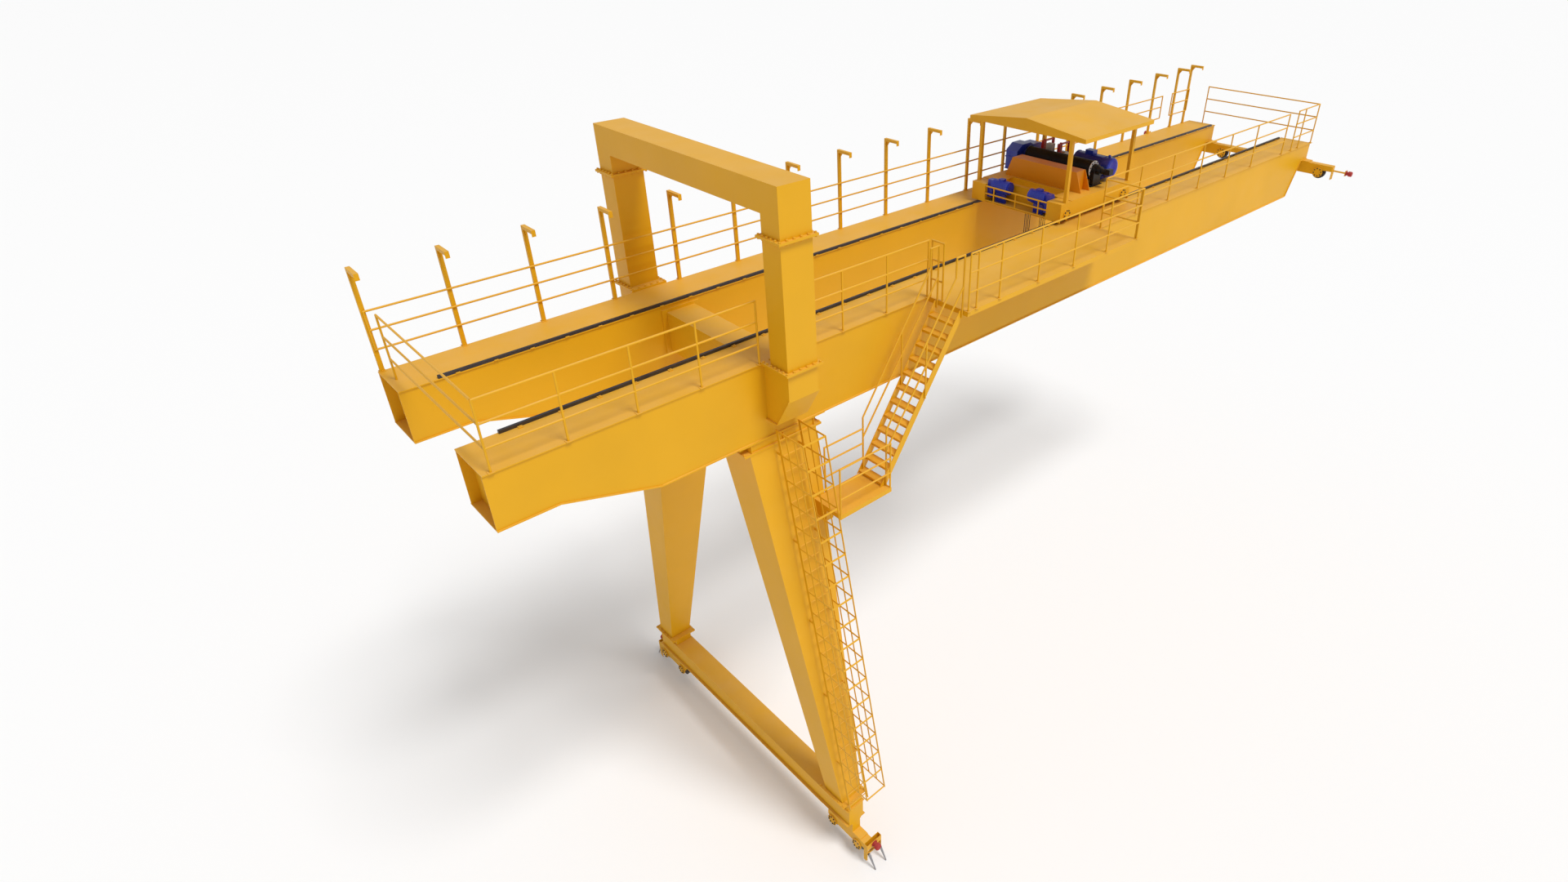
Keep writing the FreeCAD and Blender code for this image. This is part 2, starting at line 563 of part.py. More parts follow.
def cable_post(x):
    top = GIRDER_TOP + CABLE_POST_H
    arm = [(RAIL_Y + 25, top), (RAIL_Y - CABLE_ARM, top), (RAIL_Y - CABLE_ARM, top - 60),
           (RAIL_Y + 25, top - 60)]
    hook = box(x - 35, x + 35, RAIL_Y - CABLE_ARM, RAIL_Y - CABLE_ARM + 8, top - 110, top)
    knee = [(RAIL_Y - 25, top - 60), (RAIL_Y - 120, top - 60), (RAIL_Y - 25, top - 180)]
    return join([box(x - 35, x + 35, RAIL_Y - 25, RAIL_Y + 25, GIRDER_TOP, top),
                 prism_x(arm, x - 35, x + 35), prism_x(knee, x - 5, x + 5), hook])


save("cable_posts", group([cable_post(x) for x in cable_posts_x]))


def level_bars(x0, x1, heights, y):
    bars = [rod((x0, y, GIRDER_TOP + h), (x1, y, GIRDER_TOP + h), TUBE_R) for h in heights]
    for x in (x0, x1):
        bars.append(rod((x, y, GIRDER_TOP + heights[-1]), (x, y, GIRDER_TOP + heights[0]), TUBE_R))
        for h in (heights[0], heights[-1]):
            bars.append(Part.makeSphere(TUBE_R, V(x, y, GIRDER_TOP + h)))
    return join(bars)


far_y = RAIL_Y - 25 - TUBE_R
save("far_railing", group([level_bars(CABLE_POST_EXTRA[0], FAR_GATE[0], FAR_RAILS_H, far_y),
                           level_bars(FAR_GATE[1], CABLE_POST_EXTRA[2], FAR_RAILS_H, far_y)]))


# ---- Balcony ---------------------------------------------------------------
def tray_deck(x0, x1, y0, y1, top, deep, channel, joists):
    """Deck plate on a frame of edge channels and joists across Y."""
    shapes = [box(x0, x1, y0, y1, top - DECK_PLATE, top)]
    for a, b in ((y0, y0 + channel), (y1 - channel, y1)):
        shapes.append(box(x0, x1, a, b, top - deep, top - 1))
    for x in [x0] + [x0 + (x1 - x0 - channel) * i / (joists + 1) for i in range(1, joists + 2)]:
        shapes.append(box(x, x + channel, y0, y1, top - deep, top - 1))
    return join(shapes)


deck = tray_deck(BALCONY_X0, BALCONY_X1, -BALCONY_OUT, -GIRDER_OUTER, BALCONY_TOP, BALCONY_DEEP,
                 12.0, 5)
arms = []
for x in (BALCONY_X0 + 40, (BALCONY_X0 + BALCONY_X1) / 2, BALCONY_X1 - 48):
    arms.append(box(x - 40, x + 40, -GIRDER_OUTER - 40, -WEB_OUT,
                    BALCONY_TOP - BALCONY_DEEP, BALCONY_TOP - FLANGE_PLATE - 2))
save("balcony_deck", join([deck] + arms))

guard_y = -BALCONY_OUT + TUBE_R - 4
outer_x = (3591.0, 3808.0, 4464.0, 5635.0, 6793.0, 7959.0, 9117.0)
save("balcony_outer_railing", panel([(x, guard_y) for x in outer_x],
                                    guard_heights(BALCONY_TOP), BALCONY_TOP,
                                    BALCONY_TOP + HANDRAIL_H))


def cross_panel(x, y0, y1):
    """Balcony railing that runs across the crane: built along X, then turned a quarter turn."""
    shape = panel([(y0, -x), (y1, -x)], guard_heights(BALCONY_TOP), BALCONY_TOP,
                  BALCONY_TOP + HANDRAIL_H)
    shape.rotate(V(0, 0, 0), V(0, 0, 1), 90)
    return shape


save("balcony_end_railings",
     group([cross_panel(9117.0, guard_y + 2 * TUBE_R + 2, -GIRDER_OUTER - 20),
            cross_panel(3591.0, -2297.0, -2005.0)]))

# ---- Stair -----------------------------------------------------------------
SLOPE = TREAD_RISE / TREAD_RUN


def stringer(y0):
    foot_a, foot_b = STRINGER_FOOT
    level = BALCONY_TOP - 2
    profile = [(foot_a, LANDING_TOP), (foot_b, LANDING_TOP),
               (BALCONY_X0, LANDING_TOP + (BALCONY_X0 - foot_b) * SLOPE),
               (BALCONY_X0, level), (foot_a + (level - LANDING_TOP) / SLOPE, level)]
    return prism_y(profile, y0, y0 + STRINGER_THICK)


save("stair_stringers", group([stringer(-STAIR_IN - STRINGER_THICK), stringer(-STAIR_OUT)]))

tread_y = (-STAIR_OUT + STRINGER_THICK, -STAIR_IN - STRINGER_THICK)
treads = []
for i in range(TREADS):
    x, z = TREAD_FIRST_X - TREAD_RUN * i, TREAD_FIRST_Z - TREAD_RISE * i
    treads.append(join([box(x - TREAD_WIDE, x, *tread_y, z - TREAD_THICK, z),
                        box(x - TREAD_WIDE, x - TREAD_WIDE + 6, *tread_y, z - 50, z)]))
save("stair_treads", group(treads))


def stair_handrail(y, feet):
    """Sloped double handrail; feet gives the level where each post starts."""
    top_x, mid_x, low_x = STAIR_POSTS
    crown = BALCONY_TOP + 1055.0
    knee = (3338.0, y, 11280.0)
    end = (low_x, y, 8850.0)
    path = [(top_x, y, feet[0]), (top_x, y, crown), (3338.0, y, crown), knee, end,
            (low_x, y, feet[2])]
    bars = [rod(a, b, TUBE_R) for a, b in zip(path, path[1:])]
    bars += [Part.makeSphere(TUBE_R, V(*p)) for p in path[1:-1]]
    bars.append(rod((top_x, y, 11060.0), (low_x, y, 8420.0), TUBE_R))
    rail_mid = end[2] + (knee[2] - end[2]) * (mid_x - low_x) / (knee[0] - low_x)
    bars.append(rod((mid_x, y, feet[1]), (mid_x, y, rail_mid), TUBE_R))
    return join(bars)


def tread_level(i):
    return TREAD_FIRST_Z - TREAD_RISE * i


save("stair_handrails", group([
    stair_handrail(-STAIR_IN - STRINGER_THICK - TUBE_R,
                   (BALCONY_TOP - 150, tread_level(5), tread_level(TREADS - 1))),
    stair_handrail(-STAIR_OUT - TUBE_R, (BALCONY_TOP - 150, 9120.0, LANDING_TOP))]))

# ---- Landing ---------------------------------------------------------------
near_leg = flip(leg(), -1)
landing = tray_deck(LANDING_X0, LANDING_X1, -LANDING_OUT, -LANDING_IN, LANDING_TOP, LANDING_DEEP,
                    12.0, 2)
corbel = box(LANDING_X0, LANDING_X0 + 160, -2560.0, -LANDING_IN, LANDING_TOP - 330,
             LANDING_TOP - LANDING_DEEP)
save("landing_deck", join([landing.cut(near_leg), corbel.cut(near_leg)]))
landing_levels = [LANDING_TOP + h for h in LANDING_RAILS_H]
wall_y = -LANDING_IN - TUBE_R - 1
save("landing_railings", group([
    panel([(x, -LANDING_OUT + TUBE_R + 2) for x in (LANDING_X0 + 20, LANDING_X1 - 20)],
          landing_levels, LANDING_TOP, landing_levels[-1]),
    join([rod((700.0, wall_y, LANDING_TOP), (700.0, wall_y, landing_levels[-1]), TUBE_R)]
         + [rod((700.0 - TUBE_R / 2, wall_y, z), (STAIR_POSTS[2] - TUBE_R - 1, wall_y, z), TUBE_R)
            for z in landing_levels])]))


# ---- Caged ladder ----------------------------------------------------------
def leg_face(z, off=0.0):
    """How far out the leg's outer face is at a level, plus an offset."""
    return LEG_LOW_OUT - (z - LEG_LOW_Z) * LEG_BATTER + off


def sloped_bar(x0, x1, off, half, z0, z1):
    """Bar that follows the leg's slope on the near side."""
    profile = [(-leg_face(z0, off - half), z0), (-leg_face(z0, off + half), z0),
               (-leg_face(z1, off + half), z1), (-leg_face(z1, off - half), z1)]
    return prism_x(profile, x0, x1)


ladder = []
for x in LADDER_X:
    ladder.append(sloped_bar(x - 6, x + 6, LADDER_STANDOFF, 30.0, LADDER_LOW, LADDER_TOP))
    for z in row(1800.0, 1750.0, 5):
        mid = LADDER_STANDOFF / 2 - 10
        ladder.append(sloped_bar(x - 6, x + 6, mid, mid, z, z + 50))
rungs = int((LADDER_TOP - LADDER_LOW - 200) / RUNG_PITCH) + 1
for z in row(LADDER_LOW + 120, RUNG_PITCH, rungs):
    y = -leg_face(z, LADDER_STANDOFF)
    ladder.append(rod((LADDER_X[0], y, z), (LADDER_X[1], y, z), 11.0))
save("ladder", join(ladder))

hoop_levels = row(HOOP_TOP - HOOP_PITCH * (HOOPS - 1), HOOP_PITCH, HOOPS)
cage_z = (hoop_levels[0] - 18, hoop_levels[-1] + 18)
outer = LADDER_STANDOFF + CAGE_DEEP
sides = []
for x in LADDER_X:
    bars = []
    for off in (LADDER_STANDOFF + CAGE_DEEP / 3, LADDER_STANDOFF + CAGE_DEEP * 2 / 3):
        bars.append(sloped_bar(x - 4, x + 4, off, 16.0, *cage_z))
    for z in hoop_levels:
        middle = LADDER_STANDOFF + (CAGE_DEEP + 14) / 2
        bars.append(sloped_bar(x - 4, x + 4, middle, CAGE_DEEP / 2 - 23, z - 18, z + 18))
    sides.append(join(bars))
save("ladder_cage_sides", group(sides))
front = []
for x in LADDER_X:
    front.append(sloped_bar(x - 6, x + 6, outer, 16.0, *cage_z))
for z in hoop_levels:
    front.append(sloped_bar(LADDER_X[0], LADDER_X[1], outer, 4.0, z - 18, z + 18))
save("ladder_cage_front", join(front))

# ---- Trolley ---------------------------------------------------------------
wheel_reach = TROLLEY_TREAD + WHEEL_FLANGE + 3 * PLATE_FIT
wheel_slot = WHEEL_WIDTH / 2 + 2 * PLATE_FIT


def trolley_side():
    beam = box(TROLLEY_X0, TROLLEY_X1, TROLLEY_IN, TROLLEY_OUT, TROLLEY_LOW, TROLLEY_TOP)
    for x in (TROLLEY_X0, TROLLEY_X1 - 20):
        beam = beam.fuse(box(x, x + 20, TROLLEY_IN, TROLLEY_OUT, RAIL_TOP + 15, TROLLEY_TOP))
    for name, x in TROLLEY_AXLES:
        beam = beam.cut(box(x - wheel_reach, x + wheel_reach, RAIL_Y0 - wheel_slot,
                            RAIL_Y0 + wheel_slot, TROLLEY_LOW - 1,
                            TROLLEY_AXLE_Z + wheel_reach))
        beam = beam.fuse(disc_y(TROLLEY_OUT - 1, TROLLEY_OUT + 18, x, TROLLEY_AXLE_Z, 120.0))
        beam = beam.cut(disc_y(TROLLEY_IN + PLATE_FIT, TROLLEY_OUT + 8, x, TROLLEY_AXLE_Z,
                               AXLE_R + PIN_FIT))
    return beam


frame_parts = [flip(trolley_side(), side) for name, side in SIDES]
inner_y = TROLLEY_IN + 2
for x0, x1 in ((SHELF_X1, SHELF_X1 + 120), (SLOT_X0 - 120, SLOT_X0), (SLOT_X1, SLOT_X1 + 120),
               (TROLLEY_X1 - 140, TROLLEY_X1 - 20)):
    frame_parts.append(box(x0, x1, -inner_y, inner_y, TROLLEY_LOW + 40, TROLLEY_TOP))
frame_parts.append(box(TROLLEY_X0, SHELF_X1 + 5, -inner_y, inner_y, SHELF_Z - 12, SHELF_Z))
frame_parts.append(box(SHELF_X1, SHELF_X1 + 12, -inner_y, inner_y, SHELF_Z - 12, TROLLEY_TOP))
for side in (-1, 1):
    low, high = sorted((side * (TROLLEY_IN - 12), side * inner_y))
    frame_parts.append(box(TROLLEY_X0, SHELF_X1 + 5, low, high, SHELF_Z - 12, TROLLEY_LOW + 30))
deck_y = TROLLEY_OUT
deck = box(SHELF_X1, TROLLEY_X1, -deck_y, deck_y, TROLLEY_TOP - 2, DECK_TOP)
for x0, x1 in ((SHELF_X1 + 120, SLOT_X0 - 120), (SLOT_X0, SLOT_X1)):
    deck = deck.cut(box(x0, x1, -SLOT_HALF_Y, SLOT_HALF_Y, TROLLEY_TOP - 10, DECK_TOP + 10))
frame_parts.append(deck)
save("trolley_frame", join(frame_parts))

basket = []
for z, half in ((10700.0, TROLLEY_IN - 12), (10868.0, TROLLEY_IN), (11040.0, TROLLEY_IN)):
    basket.append(rod((TROLLEY_X0 + 20, -half, z), (TROLLEY_X0 + 20, half, z), TUBE_R))
for y in (-660.0, 0.0, 645.0):
    basket.append(rod((TROLLEY_X0 + 20, y, 10700.0), (TROLLEY_X0 + 20, y, 11040.0), TUBE_R))
save("trolley_basket", join(basket))

for place, x in TROLLEY_AXLES:
    for name, side in SIDES:
        save(name + "_" + place + "_trolley_wheel",
             wheel((x, side * RAIL_Y0, TROLLEY_AXLE_Z), (0, 1, 0), TROLLEY_TREAD,
                   TROLLEY_OUT - RAIL_Y0 + 4))

# Roof and its posts
skin = 12.0
gable = [(-ROOF_HALF_Y, EAVE_Z - FASCIA), (ROOF_HALF_Y, EAVE_Z - FASCIA), (ROOF_HALF_Y, EAVE_Z),
         (0, RIDGE_Z), (-ROOF_HALF_Y, EAVE_Z)]
hollow = [(-ROOF_HALF_Y + skin, EAVE_Z - FASCIA - 1), (ROOF_HALF_Y - skin, EAVE_Z - FASCIA - 1),
          (ROOF_HALF_Y - skin, EAVE_Z - skin), (0, RIDGE_Z - skin),
          (-ROOF_HALF_Y + skin, EAVE_Z - skin)]
roof = prism_x(gable, ROOF_X0, ROOF_X1)
half = ROOF_POST / 2
for x0, x1 in ((ROOF_POST_X[0] + half, ROOF_POST_X[1] - half), (ROOF_POST_X[1] + half, ROOF_X1 - skin)):
    roof = roof.cut(prism_x(hollow, x0, x1))
save("trolley_roof", roof)
posts = []
for x in ROOF_POST_X:
    for side in (-1, 1):
        y = side * ROOF_POST_Y
        base = DECK_TOP if x > SHELF_X1 else TROLLEY_TOP
        posts.append(box(x - half, x + half, y - half, y + half, base, EAVE_Z - FASCIA))
save("roof_posts", group(posts))

# Rope beam over the slot in the deck, with gussets that splay out at its ends
side_sheet = [(BEAM_NEAR, DECK_TOP), (BEAM_FAR, DECK_TOP), (BEAM_FAR - BEAM_SPLAY, BEAM_HIGH),
              (BEAM_NEAR + BEAM_SPLAY, BEAM_HIGH)]
rope_beam = [prism_x(side_sheet, x, x + BEAM_SHEET) for x in (BEAM_X0, BEAM_X1 - BEAM_SHEET)]
rope_beam.append(box(BEAM_X0, BEAM_X1, BEAM_NEAR + BEAM_SPLAY + 12, BEAM_FAR - BEAM_SPLAY - 12,
                     DECK_TOP, BEAM_HIGH))
save("rope_beam", join(rope_beam))

# Drum, its bearing and gearbox
drum = [disc_y(DRUM_NEAR, DRUM_FAR, DRUM_X, DRUM_Z, DRUM_R)]
for y in (DRUM_NEAR, DRUM_FAR - 20):
    drum.append(disc_y(y, y + 20, DRUM_X, DRUM_Z, DRUM_R + 22))
drum.append(disc_y(DRUM_NEAR - 130, DRUM_FAR + 140, DRUM_X, DRUM_Z, 45.0))
save("hoist_drum", join(drum))

bearing = join([box(DRUM_X - 150, DRUM_X + 150, DRUM_NEAR - 120, DRUM_NEAR - 20, DECK_TOP, DRUM_Z),
                disc_y(DRUM_NEAR - 120, DRUM_NEAR - 20, DRUM_X, DRUM_Z, 130.0),
                disc_y(DRUM_NEAR - 220, DRUM_NEAR - 120, DRUM_X, DRUM_Z, 100.0),
                disc_y(DRUM_NEAR - 320, DRUM_NEAR - 220, DRUM_X, DRUM_Z, 60.0),
                box(DRUM_X - 220, DRUM_X + 220, DRUM_NEAR - 130, DRUM_NEAR - 10, DECK_TOP,
                    DECK_TOP + 25)])
save("drum_bearing", bearing.cut(disc_y(DRUM_NEAR - 135, DRUM_NEAR, DRUM_X, DRUM_Z,
                                        45.0 + PIN_FIT)))

case = [(BOX_X0, DECK_TOP + 20), (BOX_X1, DECK_TOP + 20), (BOX_X1, 11560.0), (10860.0, 11640.0),
        (10560.0, 11640.0), (10440.0, 11700.0), (10140.0, 11700.0), (BOX_X0, 11560.0)]
gearbox = [prism_y(case, BOX_NEAR, BOX_FAR),
           box(BOX_X0 - 25, BOX_X1 + 40, BOX_NEAR - 10, BOX_FAR, DECK_TOP, DECK_TOP + 30),
           box(BOX_X0 - 20, BOX_X1 + 20, BOX_NEAR - 10, BOX_FAR + 10, 11385.0, 11415.0),
           disc_y(BOX_NEAR - 30, BOX_FAR + 25, DRUM_X, DRUM_Z, 120.0),
           disc_y(BOX_NEAR - 25, BOX_FAR + 20, MOTOR_X, MOTOR_Z, 75.0)]
save("hoist_gearbox", join(gearbox).cut(disc_y(BOX_NEAR - 40, DRUM_FAR + 150, DRUM_X, DRUM_Z,
                                               45.0 + PIN_FIT)))

# Hoist motor, brakes and control box
motor = [disc_y(-1030.0, -50.0, MOTOR_X, MOTOR_Z, MOTOR_R),
         disc_y(-1050.0, -1025.0, MOTOR_X, MOTOR_Z, MOTOR_R * 0.8),
         disc_y(-860.0, -835.0, MOTOR_X, MOTOR_Z, MOTOR_R + 15),
         disc_y(-75.0, -50.0, MOTOR_X, MOTOR_Z, MOTOR_R + 15),
         box(MOTOR_X - 90, MOTOR_X + 90, -520.0, -300.0, MOTOR_Z + 150, MOTOR_Z + MOTOR_R + 90),
         box(MOTOR_X - 200, MOTOR_X + 200, -780.0, -150.0, DECK_TOP, DECK_TOP + 30)]
for y in (-760.0, -210.0):
    motor.append(box(MOTOR_X - 170, MOTOR_X + 170, y, y + 40, DECK_TOP, MOTOR_Z))
save("hoist_motor", join(motor))
save("motor_coupling", join([disc_y(-50.0, BOX_NEAR - 25, MOTOR_X, MOTOR_Z, 32.0),
                          disc_y(60.0, 130.0, MOTOR_X, MOTOR_Z, 90.0),
                          disc_y(300.0, 420.0, MOTOR_X, MOTOR_Z, 140.0),
                          disc_y(780.0, 900.0, MOTOR_X, MOTOR_Z, 140.0)]))


def shoe_brake(y):
    """Two upright arms round a brake wheel, tied at the top by a thruster lever."""
    shapes = [box(MOTOR_X - 230, MOTOR_X + 230, y - 45, y + 45, DECK_TOP, DECK_TOP + 40)]
    for s in (-1, 1):
        low, high = sorted((MOTOR_X + s * 145, MOTOR_X + s * 190))
        shapes.append(box(low, high, y - 30, y + 30, DECK_TOP + 30, MOTOR_Z + 370))
    shapes.append(box(MOTOR_X - 260, MOTOR_X + 200, y - 20, y + 20, MOTOR_Z + 320, MOTOR_Z + 355))
    shapes.append(rod((MOTOR_X - 250, y, DECK_TOP + 20), (MOTOR_X - 250, y, MOTOR_Z + 345), 42.0))
    return join(shapes)


save("hoist_brakes", group([shoe_brake(360.0), shoe_brake(840.0)]))
save("control_box", join([box(10520.0, 10660.0, 520.0, 690.0, DECK_TOP + 260, DECK_TOP + 640),
                          box(10560.0, 10620.0, 560.0, 660.0, DECK_TOP, DECK_TOP + 270)]))

# Travel drives on the shelf
drives = []
for side in (-1, 1):
    reducer = [(8640.0, 10775.0), (8900.0, 10775.0), (8900.0, 10900.0), (8800.0, 11190.0),
               (8640.0, 11190.0)]
    shape = join([prism_y(reducer, 760.0, TROLLEY_IN),
                  disc_y(310.0, 770.0, 8735.0, 11060.0, 150.0),
                  disc_y(290.0, 320.0, 8735.0, 11060.0, 125.0),
                  box(8680.0, 8790.0, 480.0, 620.0, 11180.0, 11250.0),
                  box(8705.0, 8765.0, 420.0, 700.0, SHELF_Z, 11000.0)])
    drives.append(flip(shape, side))
save("travel_drives", group(drives))

# Ropes and hook block
ropes = []
block_top = BLOCK_Z + 190.0
for y, count in ROPE_GROUPS:
    for i in range(count):
        yy = y + (i - (count - 1) / 2) * ROPE_PITCH
        ropes.append(rod((BLOCK_X, yy, block_top), (BLOCK_X, yy, DECK_TOP), ROPE_R))
save("hoist_ropes", group(ropes))

block = [disc_y(-620.0, 620.0, BLOCK_X, BLOCK_Z, 215.0),
         box(BLOCK_X - 120, BLOCK_X + 120, -620.0, 620.0, BLOCK_Z, block_top),
         box(BLOCK_X - 110, BLOCK_X + 110, -230.0, 230.0, BLOCK_Z - 330, BLOCK_Z),
         rod((BLOCK_X, 0, BLOCK_Z - 520), (BLOCK_X, 0, BLOCK_Z - 320), 60.0)]
block = [s.cut(box(BLOCK_X - 300, BLOCK_X + 300, -700, 700, block_top, block_top + 300))
         for s in block]
hook_z = BLOCK_Z - 690.0
bowl = Part.makeTorus(150.0, 52.0, V(BLOCK_X, 0, hook_z), V(1, 0, 0), 0, 360, 250)
bowl.rotate(V(BLOCK_X, 0, hook_z), V(1, 0, 0), HOOK_TURN)
block.append(bowl)
save("hook_block", join(block))
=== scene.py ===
# %% [markdown]
# # A semi-gantry crane, finished in Blender
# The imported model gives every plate, tube and wheel its true shape and place. This lesson adds what
# a maker adds last: bolts, weld beads, rail clips, motor fins and wound rope, and then the paint.

# %% Load the frame
import json
import math

import bpy
import numpy as np
from mathutils import Euler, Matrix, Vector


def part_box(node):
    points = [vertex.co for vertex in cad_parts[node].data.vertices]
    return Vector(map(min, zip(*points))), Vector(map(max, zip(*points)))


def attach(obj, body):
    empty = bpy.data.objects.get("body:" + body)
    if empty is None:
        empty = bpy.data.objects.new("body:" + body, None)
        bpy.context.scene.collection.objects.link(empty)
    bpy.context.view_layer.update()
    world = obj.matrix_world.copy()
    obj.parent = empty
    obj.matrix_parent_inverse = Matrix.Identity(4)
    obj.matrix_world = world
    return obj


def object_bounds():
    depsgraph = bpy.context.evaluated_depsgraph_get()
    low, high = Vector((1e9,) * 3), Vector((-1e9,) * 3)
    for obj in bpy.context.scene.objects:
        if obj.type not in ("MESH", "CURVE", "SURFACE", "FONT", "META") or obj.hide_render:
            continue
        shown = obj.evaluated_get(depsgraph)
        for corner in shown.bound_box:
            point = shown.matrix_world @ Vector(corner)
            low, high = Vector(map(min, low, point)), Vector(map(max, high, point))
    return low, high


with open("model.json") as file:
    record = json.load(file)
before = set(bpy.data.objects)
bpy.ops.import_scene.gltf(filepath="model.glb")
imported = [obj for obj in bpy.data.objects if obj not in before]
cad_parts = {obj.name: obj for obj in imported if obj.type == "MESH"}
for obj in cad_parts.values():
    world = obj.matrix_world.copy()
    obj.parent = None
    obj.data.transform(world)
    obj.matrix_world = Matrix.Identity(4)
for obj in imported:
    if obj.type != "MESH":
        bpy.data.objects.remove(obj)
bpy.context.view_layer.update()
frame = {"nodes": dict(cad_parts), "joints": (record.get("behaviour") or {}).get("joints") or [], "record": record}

# %% [markdown]
# ## A small language for finishes
# A finish is a graph of nodes. Writing each sum as nodes by hand hides what it means, so one class
# wraps a socket and lets Python's own + - * build the Math nodes, and one method makes any other
# node.

# %% Socket arithmetic
class Value:
    """A number that varies over a surface; arithmetic on it adds Math nodes."""

    def __init__(self, finish, socket):
        self.finish = finish
        self.socket = socket

    def _math(self, operation, left, right):
        return self.finish.node("ShaderNodeMath", {"operation": operation}, {0: left, 1: right})

    def __add__(self, other):
        return self._math("ADD", self, other)

    def __sub__(self, other):
        return self._math("SUBTRACT", self, other)

    def __mul__(self, other):
        return self._math("MULTIPLY", self, other)

    __radd__ = __add__

    def clamp(self):
        """The value held between 0 and 1."""
        return self.finish.node("ShaderNodeClamp", {}, {"Value": self})


class Finish:
    """One material and its nodes."""

    def __init__(self, name):
        self.material = bpy.data.materials.new(name)
        self.material.use_nodes = True
        self.tree = self.material.node_tree
        self.shader = self.tree.nodes["Principled BSDF"]

    def node(self, kind, settings, inputs, output=0):
        """Any node: its type, its settings, and the values or links of its sockets."""
        made = self.tree.nodes.new(kind)
        for key, value in settings.items():
            if key == "stops":
                self._stops(made.color_ramp, value)
            else:
                setattr(made, key, value)
        for key, value in inputs.items():
            self.put(made.inputs[key], value)
        return Value(self, made.outputs[output])

    def _stops(self, ramp, stops):
        while len(ramp.elements) < len(stops):
            ramp.elements.new(0.5)
        for element, (place, grey) in zip(ramp.elements, stops):
            element.position = place
            element.color = (grey, grey, grey, 1)

    def put(self, socket, value):
        if isinstance(value, Value):
            self.tree.links.new(value.socket, socket)
        else:
            socket.default_value = value

    def set(self, **named):
        """Values or links for the shader's own sockets, with _ for a space."""
        for key, value in named.items():
            self.put(self.shader.inputs[key.replace("_", " ")], value)

    def place(self):
        """Where a point is on the object, in metres."""
        return self.node("ShaderNodeTexCoord", {}, {}, "Object")

    def height(self):
        """How high a point is on the object, in metres."""
        return self.node("ShaderNodeSeparateXYZ", {}, {"Vector": self.place()}, "Z")

    def upward(self):
        """1 where the surface faces up, 0 where it faces sideways."""
        normal = self.node("ShaderNodeNewGeometry", {}, {}, "Normal")
        return self.node("ShaderNodeSeparateXYZ", {}, {"Vector": normal}, "Z").clamp()

    def noise(self, scale, detail=3.0):
        """Soft random patches; scale is patches per metre."""
        return self.node("ShaderNodeTexNoise", {}, {"Vector": self.place(), "Scale": scale,
                                                    "Detail": detail}, "Fac")

    def blend(self, amount, low, high):
        """A colour between two, by an amount from 0 to 1."""
        return self.node("ShaderNodeMix", {"data_type": "RGBA"},
                         {"Factor": amount, 6: low, 7: high}, 2)

    def bump(self, height, strength, distance):
        """A normal that makes the surface look as uneven as the height."""
        return self.node("ShaderNodeBump", {}, {"Height": height, "Strength": strength,
                                                "Distance": distance})


# %% [markdown]
# ## Paint
# Crane steel is sprayed with one thick satin coat. Up close the coat has a faint orange-peel, the
# tops hold a film of pale dust that is also a painted sheen of light falling from above, and the
# lowest metre gets darker from the ground. Each has a noise of its own, so that no patch repeats.

# %% The sprayed coat
GRIME_FOOT = 0.9          # grime is at its darkest this far below the origin, near the floor
GRIME_FADE = 0.62         # and loses this much for each metre above that


def sprayed(name, colour, rough, dust_and_sheen=0.14, grime=0.12, coat=0.04):
    """Sprayed steel: colour patches, dust and painted sheen on what faces up, grime low down, orange-peel bump."""
    f = Finish(name)
    dark = tuple(c * 0.93 for c in colour[:3]) + (1,)
    # pale is the tone of the dust and of the painted sheen on the tops
    pale = tuple(c + (0.70 - c) * 0.45 for c in colour[:3]) + (1,)
    soot = tuple(c * 0.45 for c in colour[:3]) + (1,)
    patch = f.node("ShaderNodeValToRGB", {"stops": [(0.35, 0.0), (0.68, 1.0)]},
                   {"Fac": f.noise(0.55, 5.0)})
    base = f.blend(patch, tuple(colour[:3]) + (1,), dark)
    # What faces up is paled towards grey: dust, and a painted sheen standing in for light from above
    dust_and_sheen_colour = f.blend((f.upward() * f.noise(1.7, 6.0) * (2 * dust_and_sheen)).clamp(), base, pale)
    low = (f.noise(3.1, 6.0) * 1.5 - (f.height() + GRIME_FOOT) * GRIME_FADE).clamp() * grime
    f.set(Base_Color=f.blend(low, dust_and_sheen_colour, soot),
          Roughness=(rough + f.noise(2.3, 4.0) * 0.16 - 0.08 + low * 0.3).clamp(),
          Metallic=0.0, Specular_IOR_Level=0.28, Coat_Weight=coat, Coat_Roughness=0.2,
          Normal=f.bump(f.noise(140.0, 2.0), 0.06, 0.002))
    return f.material


def metal(name, colour, rough, streak=30.0):
    """Bare or rolled steel: a metal whose roughness and tone drift a little."""
    f = Finish(name)
    tone = f.noise(streak, 5.0)
    dull = tuple(c * 0.55 for c in colour[:3]) + (1,)
    f.set(Base_Color=f.blend(tone, tuple(colour[:3]) + (1,), dull), Metallic=0.85,
          Roughness=(rough + tone * 0.25 - 0.12).clamp(),
          Normal=f.bump(f.noise(220.0, 2.0), 0.08, 0.001))
    return f.material


